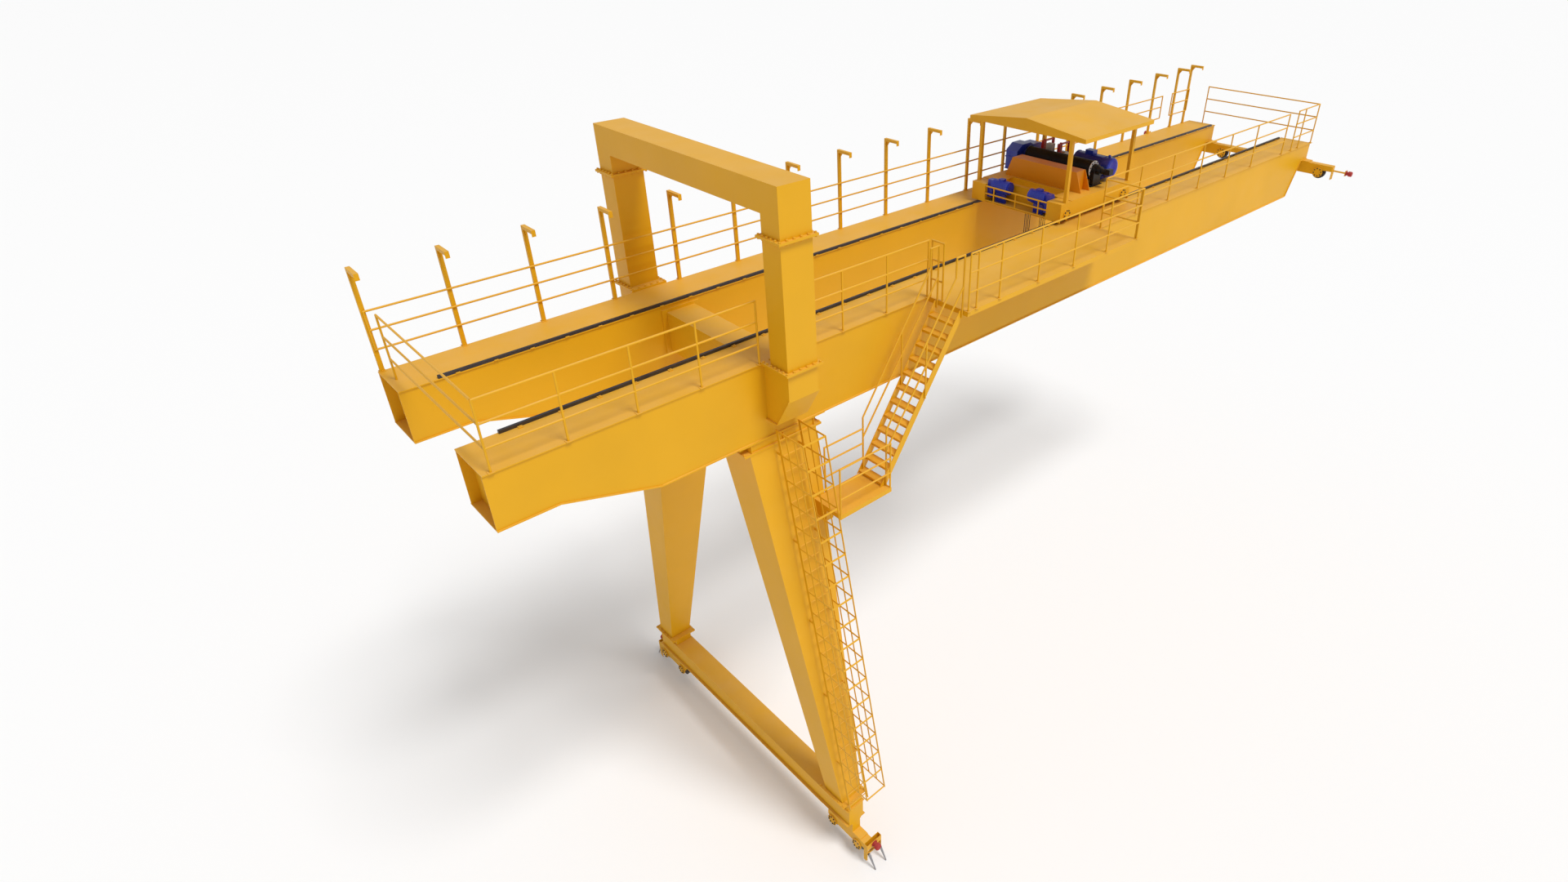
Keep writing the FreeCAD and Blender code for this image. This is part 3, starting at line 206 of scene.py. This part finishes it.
ORANGE = (0.78, 0.395, 0.004)
DEEP_ORANGE = (0.76, 0.285, 0.002)
BLUE = (0.012, 0.034, 0.47)
RED = (0.46, 0.022, 0.018)
finishes = {
    "paint_orange": sprayed("paint_orange", ORANGE, 0.50),
    "paint_deep_orange": sprayed("paint_deep_orange", DEEP_ORANGE, 0.44),
    "blue_paint": sprayed("blue_paint", BLUE, 0.30, dust_and_sheen=0.06, grime=0.0, coat=0.5),
    "red_paint": sprayed("red_paint", RED, 0.34, dust_and_sheen=0.05, grime=0.0, coat=0.4),
    "red_rubber": sprayed("red_rubber", (0.42, 0.03, 0.025), 0.62, dust_and_sheen=0.08, grime=0.2, coat=0.0),
    "black_paint": sprayed("black_paint", (0.012, 0.012, 0.014), 0.38, dust_and_sheen=0.03, grime=0.0),
    "grey_paint": sprayed("grey_paint", (0.42, 0.43, 0.44), 0.40, dust_and_sheen=0.04, grime=0.0),
    "rail_steel": metal("rail_steel", (0.10, 0.095, 0.11), 0.42, 9.0),
    "wheel_iron": metal("wheel_iron", (0.085, 0.075, 0.07), 0.48, 25.0),
    "bare_steel": metal("bare_steel", (0.42, 0.42, 0.44), 0.34, 40.0),
    "wire_rope": metal("wire_rope", (0.05, 0.048, 0.052), 0.50, 60.0),
}
white_disc = sprayed("white_disc", (0.78, 0.78, 0.77), 0.35, dust_and_sheen=0.02, grime=0.0)
dark_bolt = metal("dark_bolt", (0.10, 0.09, 0.085), 0.40, 60.0)
print("finishes", sorted(finishes))

# %% Paint the CAD nodes
slots = {part["node"]: part["material_slot"] for part in frame["record"]["subparts"]}
slots["hoist_ropes"] = "wire_rope"
for name, node in frame["nodes"].items():
    node.data.materials.clear()
    node.data.materials.append(finishes[slots[name]])
print("painted", len(slots), "nodes")


# %% [markdown]
# ## Making a piece
# Each new piece is one mesh that rides on one body. The points are numpy arrays in metres, in the
# crane's own frame, so the object itself stays at the origin.

# %% One helper that turns arrays into a piece
def piece(name, points, faces, body, finish, slot_name=None, smooth=False):
    """Mesh from an (n, 3) array of points and an (m, k) array of face corners."""
    mesh = bpy.data.meshes.new(name)
    mesh.from_pydata(points.reshape(-1, 3).tolist(), [], [list(map(int, f)) for f in faces])
    mesh.update()
    mesh.polygons.foreach_set("use_smooth", np.full(len(mesh.polygons), smooth))
    thing = bpy.data.objects.new(name, mesh)
    bpy.context.scene.collection.objects.link(thing)
    mesh.materials.append(finish)
    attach(thing, body)
    print(f"{name}: {len(mesh.vertices)} points, {len(mesh.polygons)} faces, on {body}")


def axes_for(direction):
    """Two unit vectors square to each of an (n, 3) array of directions."""
    d = direction / np.linalg.norm(direction, axis=1, keepdims=True)
    helper = np.where(np.abs(d[:, :1]) > 0.9, [[0.0, 1.0, 0.0]], [[1.0, 0.0, 0.0]])
    u = np.cross(helper, d)
    u /= np.linalg.norm(u, axis=1, keepdims=True)
    return d, u, np.cross(d, u)


def box_of(name):
    """Lowest and highest corners of a CAD node, as arrays."""
    low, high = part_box(name)
    return np.array(low), np.array(high)


def corners_of(name):
    """Every corner of a CAD node as an (n, 3) array."""
    mesh = frame["nodes"][name].data
    flat = np.empty(3 * len(mesh.vertices))
    mesh.vertices.foreach_get("co", flat)
    return flat.reshape(-1, 3)


# %% [markdown]
# ## Bolts
# Every bolted joint on a crane shows a row of hex heads on washers. A bolt is seen from metres
# away, so a washer and a six-sided head are enough, and hundreds of them stay light.

# %% A field of bolts
def bolts(seats, directions, across, height):
    """Washer and hex head at every seat.

    Point on a ring = seat + direction * h + radius * (cos a * u + sin a * v), with six values of a,
    for the rings washer foot, washer top, head foot, head top and crown.
    """
    d, u, v = axes_for(directions)
    angle = np.arange(6) * math.pi / 3
    circle = (np.cos(angle)[None, :, None] * u[:, None, :]
              + np.sin(angle)[None, :, None] * v[:, None, :])
    rings = [(0.78, -0.05), (0.78, 0.18), (0.55, 0.18), (0.55, 0.92), (0.42, 1.0)]
    layers = [seats[:, None, :] + d[:, None, :] * (h * height) + circle * (r * across)
              for r, h in rings]
    points = np.stack(layers, axis=1)
    n, k = len(seats), len(rings)
    side = np.arange(6)
    after = (side + 1) % 6
    walls = np.concatenate([np.stack([j * 6 + side, j * 6 + after, (j + 1) * 6 + after,
                                      (j + 1) * 6 + side], axis=1) for j in range(k - 1)])
    first = (np.arange(n) * k * 6)[:, None, None]
    quads = (walls[None] + first).reshape(-1, 4)
    caps = np.concatenate([(k - 1) * 6 + side, side[::-1]]).reshape(2, 6)
    lids = (caps[None] + first).reshape(-1, 6)
    return points.reshape(-1, 3), [*quads, *lids]


def ring_seats(centre, normal, radius, count, turn=0.0):
    """Seats evenly round a circle, and their outward directions."""
    n = np.array([normal], float)
    d, u, v = axes_for(n)
    a = turn + np.arange(count) * 2 * math.pi / count
    seats = (np.array(centre)[None] + radius * (np.cos(a)[:, None] * u + np.sin(a)[:, None] * v))
    return seats, np.repeat(d, count, axis=0)


def line_seats(start, end, count, normal):
    """Seats evenly along a line, ends included."""
    t = np.linspace(0, 1, count)[:, None]
    seats = np.array(start, float)[None] * (1 - t) + np.array(end, float)[None] * t
    return seats, np.repeat(np.array([normal], float), count, axis=0)


def rows_across(places, y0, y1, z, count, up):
    """Rows of level seats from y0 to y1, one row at each x."""
    return [line_seats((x, y0, z), (x, y1, z), count, (0, 0, up)) for x in places]


def frame_seats(x0, x1, y0, y1, z, nx, ny, up):
    """Seats round the edge of a level rectangular flange."""
    n = (0, 0, up)
    step = (y1 - y0) / (ny + 1)
    return [line_seats((x0, y0, z), (x1, y0, z), nx, n),
            line_seats((x0, y1, z), (x1, y1, z), nx, n),
            *rows_across((x0, x1), y0 + step, y1 - step, z, ny, up)]


# %% Bolts on the steel structure
FLANGE = 0.019            # half the thickness of a column joint's two plates
HEAD_FLANGE = 0.020       # the same at the leg heads
SILL_FLANGE = 0.018       # and at the legs' feet
FLANGE_X = 0.34           # bolt line of a column's flange
SADDLE_Y = (2.127, 2.635)
COLUMN_FOOT_Y = (2.020, 2.635)
HEAD_X = (0.785, 0.815)   # bolt lines below and above a leg head's plate
HEAD_Y = (1.125, 1.945)
SEAT_X, SEAT_Y = 0.30, (2.90, 3.62)
JOINT_BOLT = (0.036, 0.026)    # across the flats, and high

saddle_joint = box_of("saddle_beam")[0][2]
column_foot = box_of("saddle_columns")[0][2]
head_joint = box_of("leg_heads")[0][2]
sill_joint = box_of("ground_sill")[1][2]
rows = []
for side in (-1, 1):
    y0, y1 = sorted(side * y for y in SADDLE_Y)
    rows += frame_seats(-FLANGE_X, FLANGE_X, y0, y1, saddle_joint + FLANGE, 6, 4, 1)
    rows += frame_seats(-FLANGE_X, FLANGE_X, y0, y1, saddle_joint - FLANGE, 6, 4, -1)
    y0, y1 = sorted(side * y for y in COLUMN_FOOT_Y)
    rows += frame_seats(-FLANGE_X, FLANGE_X, y0, y1, column_foot + FLANGE, 6, 5, 1)
    y0, y1 = sorted(side * y for y in HEAD_Y)
    rows += rows_across((-HEAD_X[0], HEAD_X[0]), y0, y1, head_joint - HEAD_FLANGE, 7, -1)
    rows += rows_across((-HEAD_X[1], HEAD_X[1]), y0, y1, head_joint + HEAD_FLANGE, 7, 1)
    y0, y1 = sorted(side * y for y in SEAT_Y)
    rows += rows_across((-SEAT_X, SEAT_X), y0, y1, sill_joint + SILL_FLANGE, 6, 1)
    rows += rows_across((-SEAT_X, SEAT_X), y0, y1, sill_joint - SILL_FLANGE, 6, -1)
seats, ways = map(np.concatenate, zip(*rows))
points, faces = bolts(seats, ways, *JOINT_BOLT)
piece("joint_bolts", points, faces, "crane_frame", finishes["paint_orange"], "paint_orange")

# %% [markdown]
# ## Bearing caps
# Each axle ends behind a round cap held by dark bolts. The ring of bolts gives the wheel its face.

# %% Cap bolts
CAP_BOLT = (0.026, 0.018)      # across the flats, and high
CAP_COUNT, CAP_TURN = 8, 0.2   # bolts in a ring, and where the ring starts in radians
BOGIE_CAP = (0.14, 0.098)      # the cap's face from the wheel's middle, and its bolt circle
CARRIAGE_CAP = (0.135, 0.108)
TROLLEY_CAP = (1.32, 0.092)    # the face here is from the crane's middle

joints = {j["name"]: j for j in frame["joints"]}
cap_rows, trolley_rows = [], []
for joint in frame["joints"]:
    if not joint["name"].endswith("_roll"):
        continue
    x, y, z = joint["pos_m"]
    if "trolley" in joint["name"]:
        face, circle = TROLLEY_CAP
        s = math.copysign(1, y)
        trolley_rows.append(ring_seats((x, s * face, z), (0, s, 0), circle, CAP_COUNT, CAP_TURN))
        continue
    face, circle = BOGIE_CAP if "bogie" in joint["name"] else CARRIAGE_CAP
    for s in (-1, 1):
        cap_rows.append(ring_seats((x + s * face, y, z), (s, 0, 0), circle, CAP_COUNT, CAP_TURN))
for name, rows, body in (("cap_bolts", cap_rows, "crane_frame"),
                         ("trolley_cap_bolts", trolley_rows, "trolley")):
    points, faces = bolts(*map(np.concatenate, zip(*rows)), *CAP_BOLT)
    piece(name, points, faces, body, dark_bolt, "bare_steel")


# %% [markdown]
# ## Small blocks
# Rail clips and post feet are small boxes in long rows. One function makes a whole row of boxes at
# once from their low and high corners.

# %% Rows of boxes
BOX_QUADS = np.array([[0, 1, 3, 2], [4, 6, 7, 5], [0, 4, 5, 1], [2, 3, 7, 6], [0, 2, 6, 4],
                      [1, 5, 7, 3]])


def box_faces(count):
    """Six outward faces for each of a count of boxes with eight points each."""
    return (BOX_QUADS[None] + (np.arange(count) * 8)[:, None, None]).reshape(-1, 4)


def blocks(low, high):
    """Boxes from (n, 3) arrays of low and high corners.

    Corner = low where the bit is 0 and high where it is 1, for the eight bits of x, y and z.
    """
    bits = np.array([[i >> 2 & 1, i >> 1 & 1, i & 1] for i in range(8)])
    points = np.where(bits[None] == 0, low[:, None, :], high[:, None, :])
    return points.reshape(-1, 3), box_faces(len(low))


# %% Rail clips
UPWARD = [[0.0, 0.0, 1.0]]
RAIL_Y = 1.11             # middle of a trolley rail
CLIP_OFF = 0.036          # from there to a clip's middle, on both sides of the rail
CLIP_PITCH = 0.62
CLIP_HALF = 0.035         # half its length along the rail
CLIP_NARROW = 0.011       # half its width on the rail's inner side
CLIP_WIDE = 0.03          # and on the outer side, where the clip is bolted
CLIP_SHIFT = 0.019        # the outer clip sits this much further out
CLIP_THICK = 0.014
CLIP_BOLT = (0.022, 0.016)

rail_low, rail_high = box_of("trolley_rails")
clip_x = np.arange(rail_low[0] + 0.3, rail_high[0] - 0.1, CLIP_PITCH)
clip_z = np.full_like(clip_x, rail_low[2])
clip_low, clip_high = [], []
for side in (-1, 1):
    for away in (-1, 1):
        inner = away * side < 0
        y = side * RAIL_Y + away * (CLIP_OFF if inner else CLIP_OFF + CLIP_SHIFT)
        centre = np.stack([clip_x, np.full_like(clip_x, y), clip_z], 1)
        half = np.array([CLIP_HALF, CLIP_NARROW if inner else CLIP_WIDE, 0.0])
        clip_low.append(centre - half)
        clip_high.append(centre + half + [0, 0, CLIP_THICK])
points, faces = blocks(np.concatenate(clip_low), np.concatenate(clip_high))
piece("rail_clips", points, faces, "crane_frame", finishes["paint_orange"], "paint_orange")
bolt_y = np.full_like(clip_x, RAIL_Y + CLIP_OFF + CLIP_SHIFT)
one_side = np.stack([clip_x, bolt_y, clip_z + CLIP_THICK], 1)
both_sides = np.concatenate([one_side, one_side * [1, -1, 1]])
points, faces = bolts(both_sides, np.tile(UPWARD, (len(both_sides), 1)), *CLIP_BOLT)
piece("rail_clip_bolts", points, faces, "crane_frame", finishes["paint_orange"], "paint_orange")

# %% [markdown]
# ## Post feet
# A railing post is welded to a small plate that is bolted to the deck. The feet go where the posts
# are.

# %% Feet under the railing posts
POST_APART = 0.1          # corners nearer than this along the crane are one post's
RAILING_FOOT, CABLE_FOOT = 0.045, 0.05    # half the side of a foot
FOOT_HIGH = 0.008
FOOT_BOLT = (0.018, 0.012)
BOLT_IN = 0.62            # the foot's bolt, as a share of that half side


def post_places(name, height):
    """Middles of the posts that stand at a height, from the corners round their lower ends."""
    ends = corners_of(name)
    ends = ends[np.abs(ends[:, 2] - height) < 1e-4]
    ends = ends[np.argsort(ends[:, 0])]
    groups = np.split(ends, np.flatnonzero(np.diff(ends[:, 0]) > POST_APART) + 1)
    return np.array([(group.min(axis=0) + group.max(axis=0)) / 2 for group in groups])


deck_level = box_of("far_girder")[1][2]
foot_low, foot_high, foot_bolts = [], [], []
for name, half in (("near_railings", RAILING_FOOT), ("cable_posts", CABLE_FOOT),
                   ("balcony_outer_railing", RAILING_FOOT)):
    places = post_places(name, deck_level)
    foot_low.append(places - [half, half, 0])
    foot_high.append(places + [half, half, FOOT_HIGH])
    inward = -math.copysign(half * BOLT_IN, places[0][1])
    foot_bolts.append(places + [0, inward, FOOT_HIGH])
    print(name, "stands on", len(places), "posts")
points, faces = blocks(np.concatenate(foot_low), np.concatenate(foot_high))
piece("post_feet", points, faces, "crane_frame", finishes["paint_orange"], "paint_orange")
foot_bolts = np.concatenate(foot_bolts)
points, faces = bolts(foot_bolts, np.tile(UPWARD, (len(foot_bolts), 1)), *FOOT_BOLT)
piece("post_foot_bolts", points, faces, "crane_frame", finishes["paint_orange"], "paint_orange")


# %% [markdown]
# ## Weld beads
# A box girder is four long plates welded at the corners. The bead is a thin rounded fillet, and it
# catches the light along the whole girder. It is a quarter-round profile carried along a line.

# %% Fillets along straight seams
def fillet(start, end, side_a, side_b, size, arc=4):
    """Quarter-round bead from start to end.

    Point = seam + size * ((1 - sin a) * side_a + (1 - cos a) * side_b), which bows inward between
    the two plates as a runs from 0 to a quarter turn.
    """
    a = np.linspace(0, math.pi / 2, arc)
    sa, sb = np.array(side_a, float), np.array(side_b, float)
    profile = size * ((1 - np.sin(a))[:, None] * sa + (1 - np.cos(a))[:, None] * sb)
    profile = np.concatenate([profile, -0.002 * (sa + sb)[None]])
    points = np.stack([np.array(start) + profile, np.array(end) + profile])
    k = len(profile)
    i = np.arange(k)
    j = (i + 1) % k
    faces = [list(q) for q in np.stack([i, j, j + k, i + k], axis=1)] + [list(i[::-1]), list(i + k)]
    turn = np.dot(np.cross(sa, sb), np.array(end, float) - np.array(start, float))
    if turn < 0:
        faces = [f[::-1] for f in faces]
    return points.reshape(-1, 3), faces


def merge(parts):
    """Several point and face lists as one."""
    points, faces, count = [], [], 0
    for p, f in parts:
        points.append(p)
        faces += [[c + count for c in face] for face in f]
        count += len(p)
    return np.concatenate(points), faces


WEB_Y = (1.105, 1.965)    # outer faces of a girder's two webs
FLANGE_THICK = 0.018      # a girder's top and bottom plates
BEAD = 0.012
LEVEL_X = (-2.39, 19.11)  # where the bottom plate is level

girder_low, girder_high = box_of("far_girder")
under, over = girder_high[2] - FLANGE_THICK, girder_low[2] + FLANGE_THICK
seams = []
for side in (-1, 1):
    for y, out in ((side * WEB_Y[0], -side), (side * WEB_Y[1], side)):
        seams.append(fillet((girder_low[0], y, under), (girder_high[0], y, under),
                            (0, out, 0), (0, 0, -1), BEAD))
        seams.append(fillet((LEVEL_X[0], y, over), (LEVEL_X[1], y, over),
                            (0, out, 0), (0, 0, 1), BEAD))
points, faces = merge(seams)
piece("girder_welds", points, faces, "crane_frame", finishes["paint_orange"], "paint_orange")


# %% [markdown]
# ## The hoist drum
# The rope lies on the drum in one tight layer. Wound rope is a helix: a small circle carried along
# a screw line. Cutting real grooves would need far more faces and look the same.

# %% Rope wound on the drum
def wound_rope(axis_x, axis_z, y0, y1, drum_r, rope_r, pitch, around=30, sides=5):
    """Tube along a helix about a line parallel to Y.

    Centre line = (ax + R sin t, y0 + pitch t / 2 pi, az + R cos t); the tube adds
    r (cos b * outward + sin b * along Y), with b going round the rope.
    """
    turns = (y1 - y0) / pitch
    t = np.linspace(0, turns * 2 * math.pi, int(turns * around))
    outward = np.stack([np.sin(t), np.zeros_like(t), np.cos(t)], 1)
    line = (np.array([axis_x, y0, axis_z]) + drum_r * outward
            + np.stack([np.zeros_like(t), pitch * t / (2 * math.pi), np.zeros_like(t)], 1))
    b = np.arange(sides) * 2 * math.pi / sides
    points = (line[:, None] + rope_r * (np.cos(b)[None, :, None] * outward[:, None]
                                        + np.sin(b)[None, :, None] * np.array([0.0, 1.0, 0.0])))
    i = np.arange(len(t) - 1)[:, None] * sides
    s = np.arange(sides)[None]
    e = (s + 1) % sides
    quads = np.stack([i + s, i + sides + s, i + sides + e, i + e], axis=2).reshape(-1, 4)
    ends = [list(range(sides)), [(len(t) - 1) * sides + k for k in range(sides)][::-1]]
    return points.reshape(-1, 3), [*quads, *ends]


WOUND_Y = (-0.835, 0.955)      # the part of the drum that holds rope
WOUND_R = 0.183                # the rope's centre line from the drum's axis
DRUM_ROPE_R, DRUM_PITCH = 0.010, 0.0235

drum_x, _, drum_z = joints["drum_turn"]["pos_m"]
points, faces = wound_rope(drum_x, drum_z, *WOUND_Y, WOUND_R, DRUM_ROPE_R, DRUM_PITCH)
piece("drum_rope", points, faces, "hoist_drum", finishes["black_paint"], "black_paint", smooth=True)


# %% [markdown]
# ## Turned pieces
# Discs, cowls and hubs are all turned: a profile of radius against length, swept round an axis.

# %% A profile turned round an axis
def turned(profile, centre, axis, around=40):
    """Solid of revolution, closed at both ends.

    Point = centre + l * axis + r (cos a * u + sin a * v) for each (l, r) of the profile.
    """
    d, u, v = axes_for(np.array([axis], float))
    d, u, v = d[0], u[0], v[0]
    a = np.arange(around) * 2 * math.pi / around
    circle = np.cos(a)[:, None] * u + np.sin(a)[:, None] * v
    prof = np.array(profile, float)
    points = (np.array(centre)[None, None] + prof[:, 0, None, None] * d
              + prof[:, 1, None, None] * circle[None])
    k = np.arange(len(prof) - 1)[:, None] * around
    s = np.arange(around)[None]
    e = (s + 1) % around
    quads = np.stack([k + s, k + e, k + around + e, k + around + s], axis=2).reshape(-1, 4)
    last = (len(prof) - 1) * around
    ends = [list(range(around))[::-1], [last + i for i in range(around)]]
    return points.reshape(-1, 3), [*quads, *ends]


# %% The drum's painted end disc
DISC_Y = -0.877
DISC_THICK, DISC_R = 0.010, 0.198
DISC_BOLT_R, DISC_BOLTS = 0.165, 10
DISC_BOLT = (0.024, 0.014)

disc = turned([(-0.001, DISC_R), (0.007, DISC_R), (DISC_THICK, 0.192), (DISC_THICK, 0.05)],
              (drum_x, DISC_Y, drum_z), (0, -1, 0))
piece("drum_end_disc", *disc, "hoist_drum", white_disc, "grey_paint")
seats, ways = ring_seats((drum_x, DISC_Y - DISC_THICK, drum_z), (0, -1, 0), DISC_BOLT_R, DISC_BOLTS)
points, faces = bolts(seats, ways, *DISC_BOLT)
piece("drum_disc_bolts", points, faces, "hoist_drum", dark_bolt, "bare_steel")


# %% The drum's limit switch
# A ribbed gear stack turns with the drum and works the switch in the box at its end.
STACK_Y = -1.190
stack = turned([(0.0, 0.075), (0.018, 0.075), (0.018, 0.062), (0.034, 0.062), (0.034, 0.078),
                (0.052, 0.078), (0.052, 0.05), (0.07, 0.05)],
               (drum_x, STACK_Y, drum_z), (0, -1, 0), 24)
switch = blocks(np.array([[drum_x - 0.085, -1.365, drum_z - 0.045]]),
                np.array([[drum_x + 0.075, -1.255, drum_z + 0.085]]))
points, faces = merge([stack, switch])
piece("drum_limit_switch", points, faces, "trolley", finishes["black_paint"], "black_paint")


# %% [markdown]
# ## Motors
# An electric motor is ribbed all round to shed heat, and a pressed cowl covers its fan. The ribs
# are thin boxes turned about the motor's axis.

# %% Ribs round a motor
RIB_ROOT = 0.004          # how deep a rib's foot is in the barrel
SKIP_HALF = 0.42          # half the angle that has no ribs, in radians


def ribs(centre, radius, rise, y0, y1, count, thick, skip):
    """Straight ribs along Y round a motor's barrel, left out near the angle skip.

    Corner = centre + r * outward + s * (thickness / 2) * sideways, for s = -1 and 1 and for r from
    RIB_ROOT inside the barrel to the rise outside it.
    """
    a = np.arange(count) * 2 * math.pi / count
    a = a[np.abs((a - skip + math.pi) % (2 * math.pi) - math.pi) > SKIP_HALF]
    out = np.stack([np.sin(a), np.zeros_like(a), np.cos(a)], 1)
    side = np.stack([np.cos(a), np.zeros_like(a), -np.sin(a)], 1)
    corners = []
    for y in (y0, y1):
        for r in (radius - RIB_ROOT, radius + rise):
            for s in (-1, 1):
                base = np.array([centre[0], y, centre[2]])
                corners.append(base + r * out + s * thick / 2 * side)
    return np.stack(corners, axis=1).reshape(-1, 3), box_faces(len(a))


MOTOR_X, SHAFT_Z = 10.85, 11.415          # the hoist motor's axis; the gearbox splits at its level
TRAVEL_X, TRAVEL_Z = 8.735, 11.06         # the travel motors' axis
TRAVEL_Y = (0.38, 0.74)                   # the ribbed part of a travel motor, on both sides
BARREL_R = 0.230
TOP = 0.0                                 # the angle of a motor's top, where no ribs stand

fins = ribs((MOTOR_X, 0.0, SHAFT_Z), radius=BARREL_R, rise=0.012, y0=-0.80, y1=-0.11, count=44,
            thick=0.007, skip=TOP)
cowl = turned([(0.0, 0.236), (0.17, 0.236), (0.20, 0.222), (0.215, 0.18), (0.215, 0.03)],
              (MOTOR_X, -0.845, SHAFT_Z), (0, -1, 0), 48)
lug = turned([(0.0, 0.034), (0.045, 0.034), (0.055, 0.024)],
             (MOTOR_X, -0.93, SHAFT_Z + BARREL_R), (0, 0, 1), 16)
points, faces = merge([fins, cowl, lug])
piece("hoist_motor_ribs", points, faces, "trolley", finishes["blue_paint"], "blue_paint")
travel = []
for side in (-1, 1):
    y0, y1 = sorted(side * y for y in TRAVEL_Y)
    travel.append(ribs((TRAVEL_X, 0.0, TRAVEL_Z), radius=0.150, rise=0.009, y0=y0, y1=y1, count=32,
                       thick=0.005, skip=TOP))
points, faces = merge(travel)
piece("travel_motor_ribs", points, faces, "trolley", finishes["blue_paint"], "blue_paint")

# %% [markdown]
# ## Gearbox
# A cast case is split at the shafts' level and held by bolts along the flange. Round covers close
# the bearings.

# %% Bolts on the gearbox's flange and bearing covers
CASE_END, CASE_EDGE = 0.07, 0.012         # the bolt line from the case's ends and its far edge
DRUM_COVER_Y, MOTOR_COVER_Y = 1.465, 1.46
DRUM_COVER_R, MOTOR_COVER_R = 0.095, 0.055
CASE_BOLT = (0.020, 0.014)

box_low, box_high = box_of("hoist_gearbox")
bolt_y = box_high[1] - CASE_EDGE
rows = [line_seats((box_low[0] + CASE_END, bolt_y, SHAFT_Z),
                   (box_high[0] - CASE_END, bolt_y, SHAFT_Z), 9, (0, 0, 1)),
        ring_seats((drum_x, DRUM_COVER_Y, drum_z), (0, 1, 0), DRUM_COVER_R, 8),
        ring_seats((MOTOR_X, MOTOR_COVER_Y, SHAFT_Z), (0, 1, 0), MOTOR_COVER_R, 6)]
points, faces = bolts(*map(np.concatenate, zip(*rows)), *CASE_BOLT)
piece("gearbox_bolts", points, faces, "trolley", dark_bolt, "bare_steel")

# %% [markdown]
# ## Hook block
# The sheaves turn between plates; only their rims and the round side covers show below the ropes.

# %% Sheave covers on the hook block
HOOK_X, SHEAVE_Y, SHEAVE_Z = 9.84, 0.62, 8.95     # the sheaves' axis and the block's two faces
covers = [turned([(0.0, 0.13), (0.012, 0.13), (0.018, 0.11), (0.018, 0.02)],
                 (HOOK_X, s * SHEAVE_Y, SHEAVE_Z), (0, s, 0), 32) for s in (-1, 1)]
points, faces = merge(covers)
piece("hook_block_covers", points, faces, "trolley", finishes["bare_steel"], "bare_steel")

# %% [markdown]
# ## Light and floor
# A pale floor lies under the lowest piece. One wide soft light comes from the ladder's side and
# above, as in a studio, and the pale surroundings fill the shadows.

# %% Floor
floor_mesh = bpy.data.meshes.new("studio_floor")
reach = 400.0             # half the floor's side, far past the crane
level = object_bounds()[0][2] - 0.002
floor_mesh.from_pydata([(-reach, -reach, level), (reach, -reach, level), (reach, reach, level),
                        (-reach, reach, level)], [], [(0, 1, 2, 3)])
floor = bpy.data.objects.new("studio_floor", floor_mesh)
bpy.context.scene.collection.objects.link(floor)
pale = Finish("studio_floor")
pale.set(Base_Color=(0.92, 0.92, 0.92, 1), Roughness=0.9)
floor_mesh.materials.append(pale.material)

# %% Lights
world = bpy.data.worlds.new("studio")
bpy.context.scene.world = world
world.use_nodes = True
sky = world.node_tree.nodes["Background"]
sky.inputs["Color"].default_value = (1.0, 1.0, 1.0, 1)
sky.inputs["Strength"].default_value = 0.50


def soft_sun(name, strength, turn, spread):
    """A distant light with a wide disc, so its shadows are soft."""
    light = bpy.data.lights.new(name, "SUN")
    light.energy = strength
    light.angle = math.radians(spread)
    lamp = bpy.data.objects.new(name, light)
    lamp.rotation_euler = Euler([math.radians(v) for v in turn])
    bpy.context.scene.collection.objects.link(lamp)


soft_sun("key_light", 2.1, (31, 0, 12), 20)
bpy.context.scene.view_settings.view_transform = "Standard"

# %% Camera
camera_data = bpy.data.cameras.new("camera")
camera_data.lens = 20.10
camera_data.shift_x = -0.0580
camera_data.shift_y = -0.0071
camera_data.clip_end = 1000.0
camera = bpy.data.objects.new("camera", camera_data)
camera.location = (-7.662, -12.314, 17.206)
camera.rotation_euler = Euler([math.radians(v) for v in (57.881, -0.032, -43.573)])
bpy.context.scene.collection.objects.link(camera)
bpy.context.scene.camera = camera
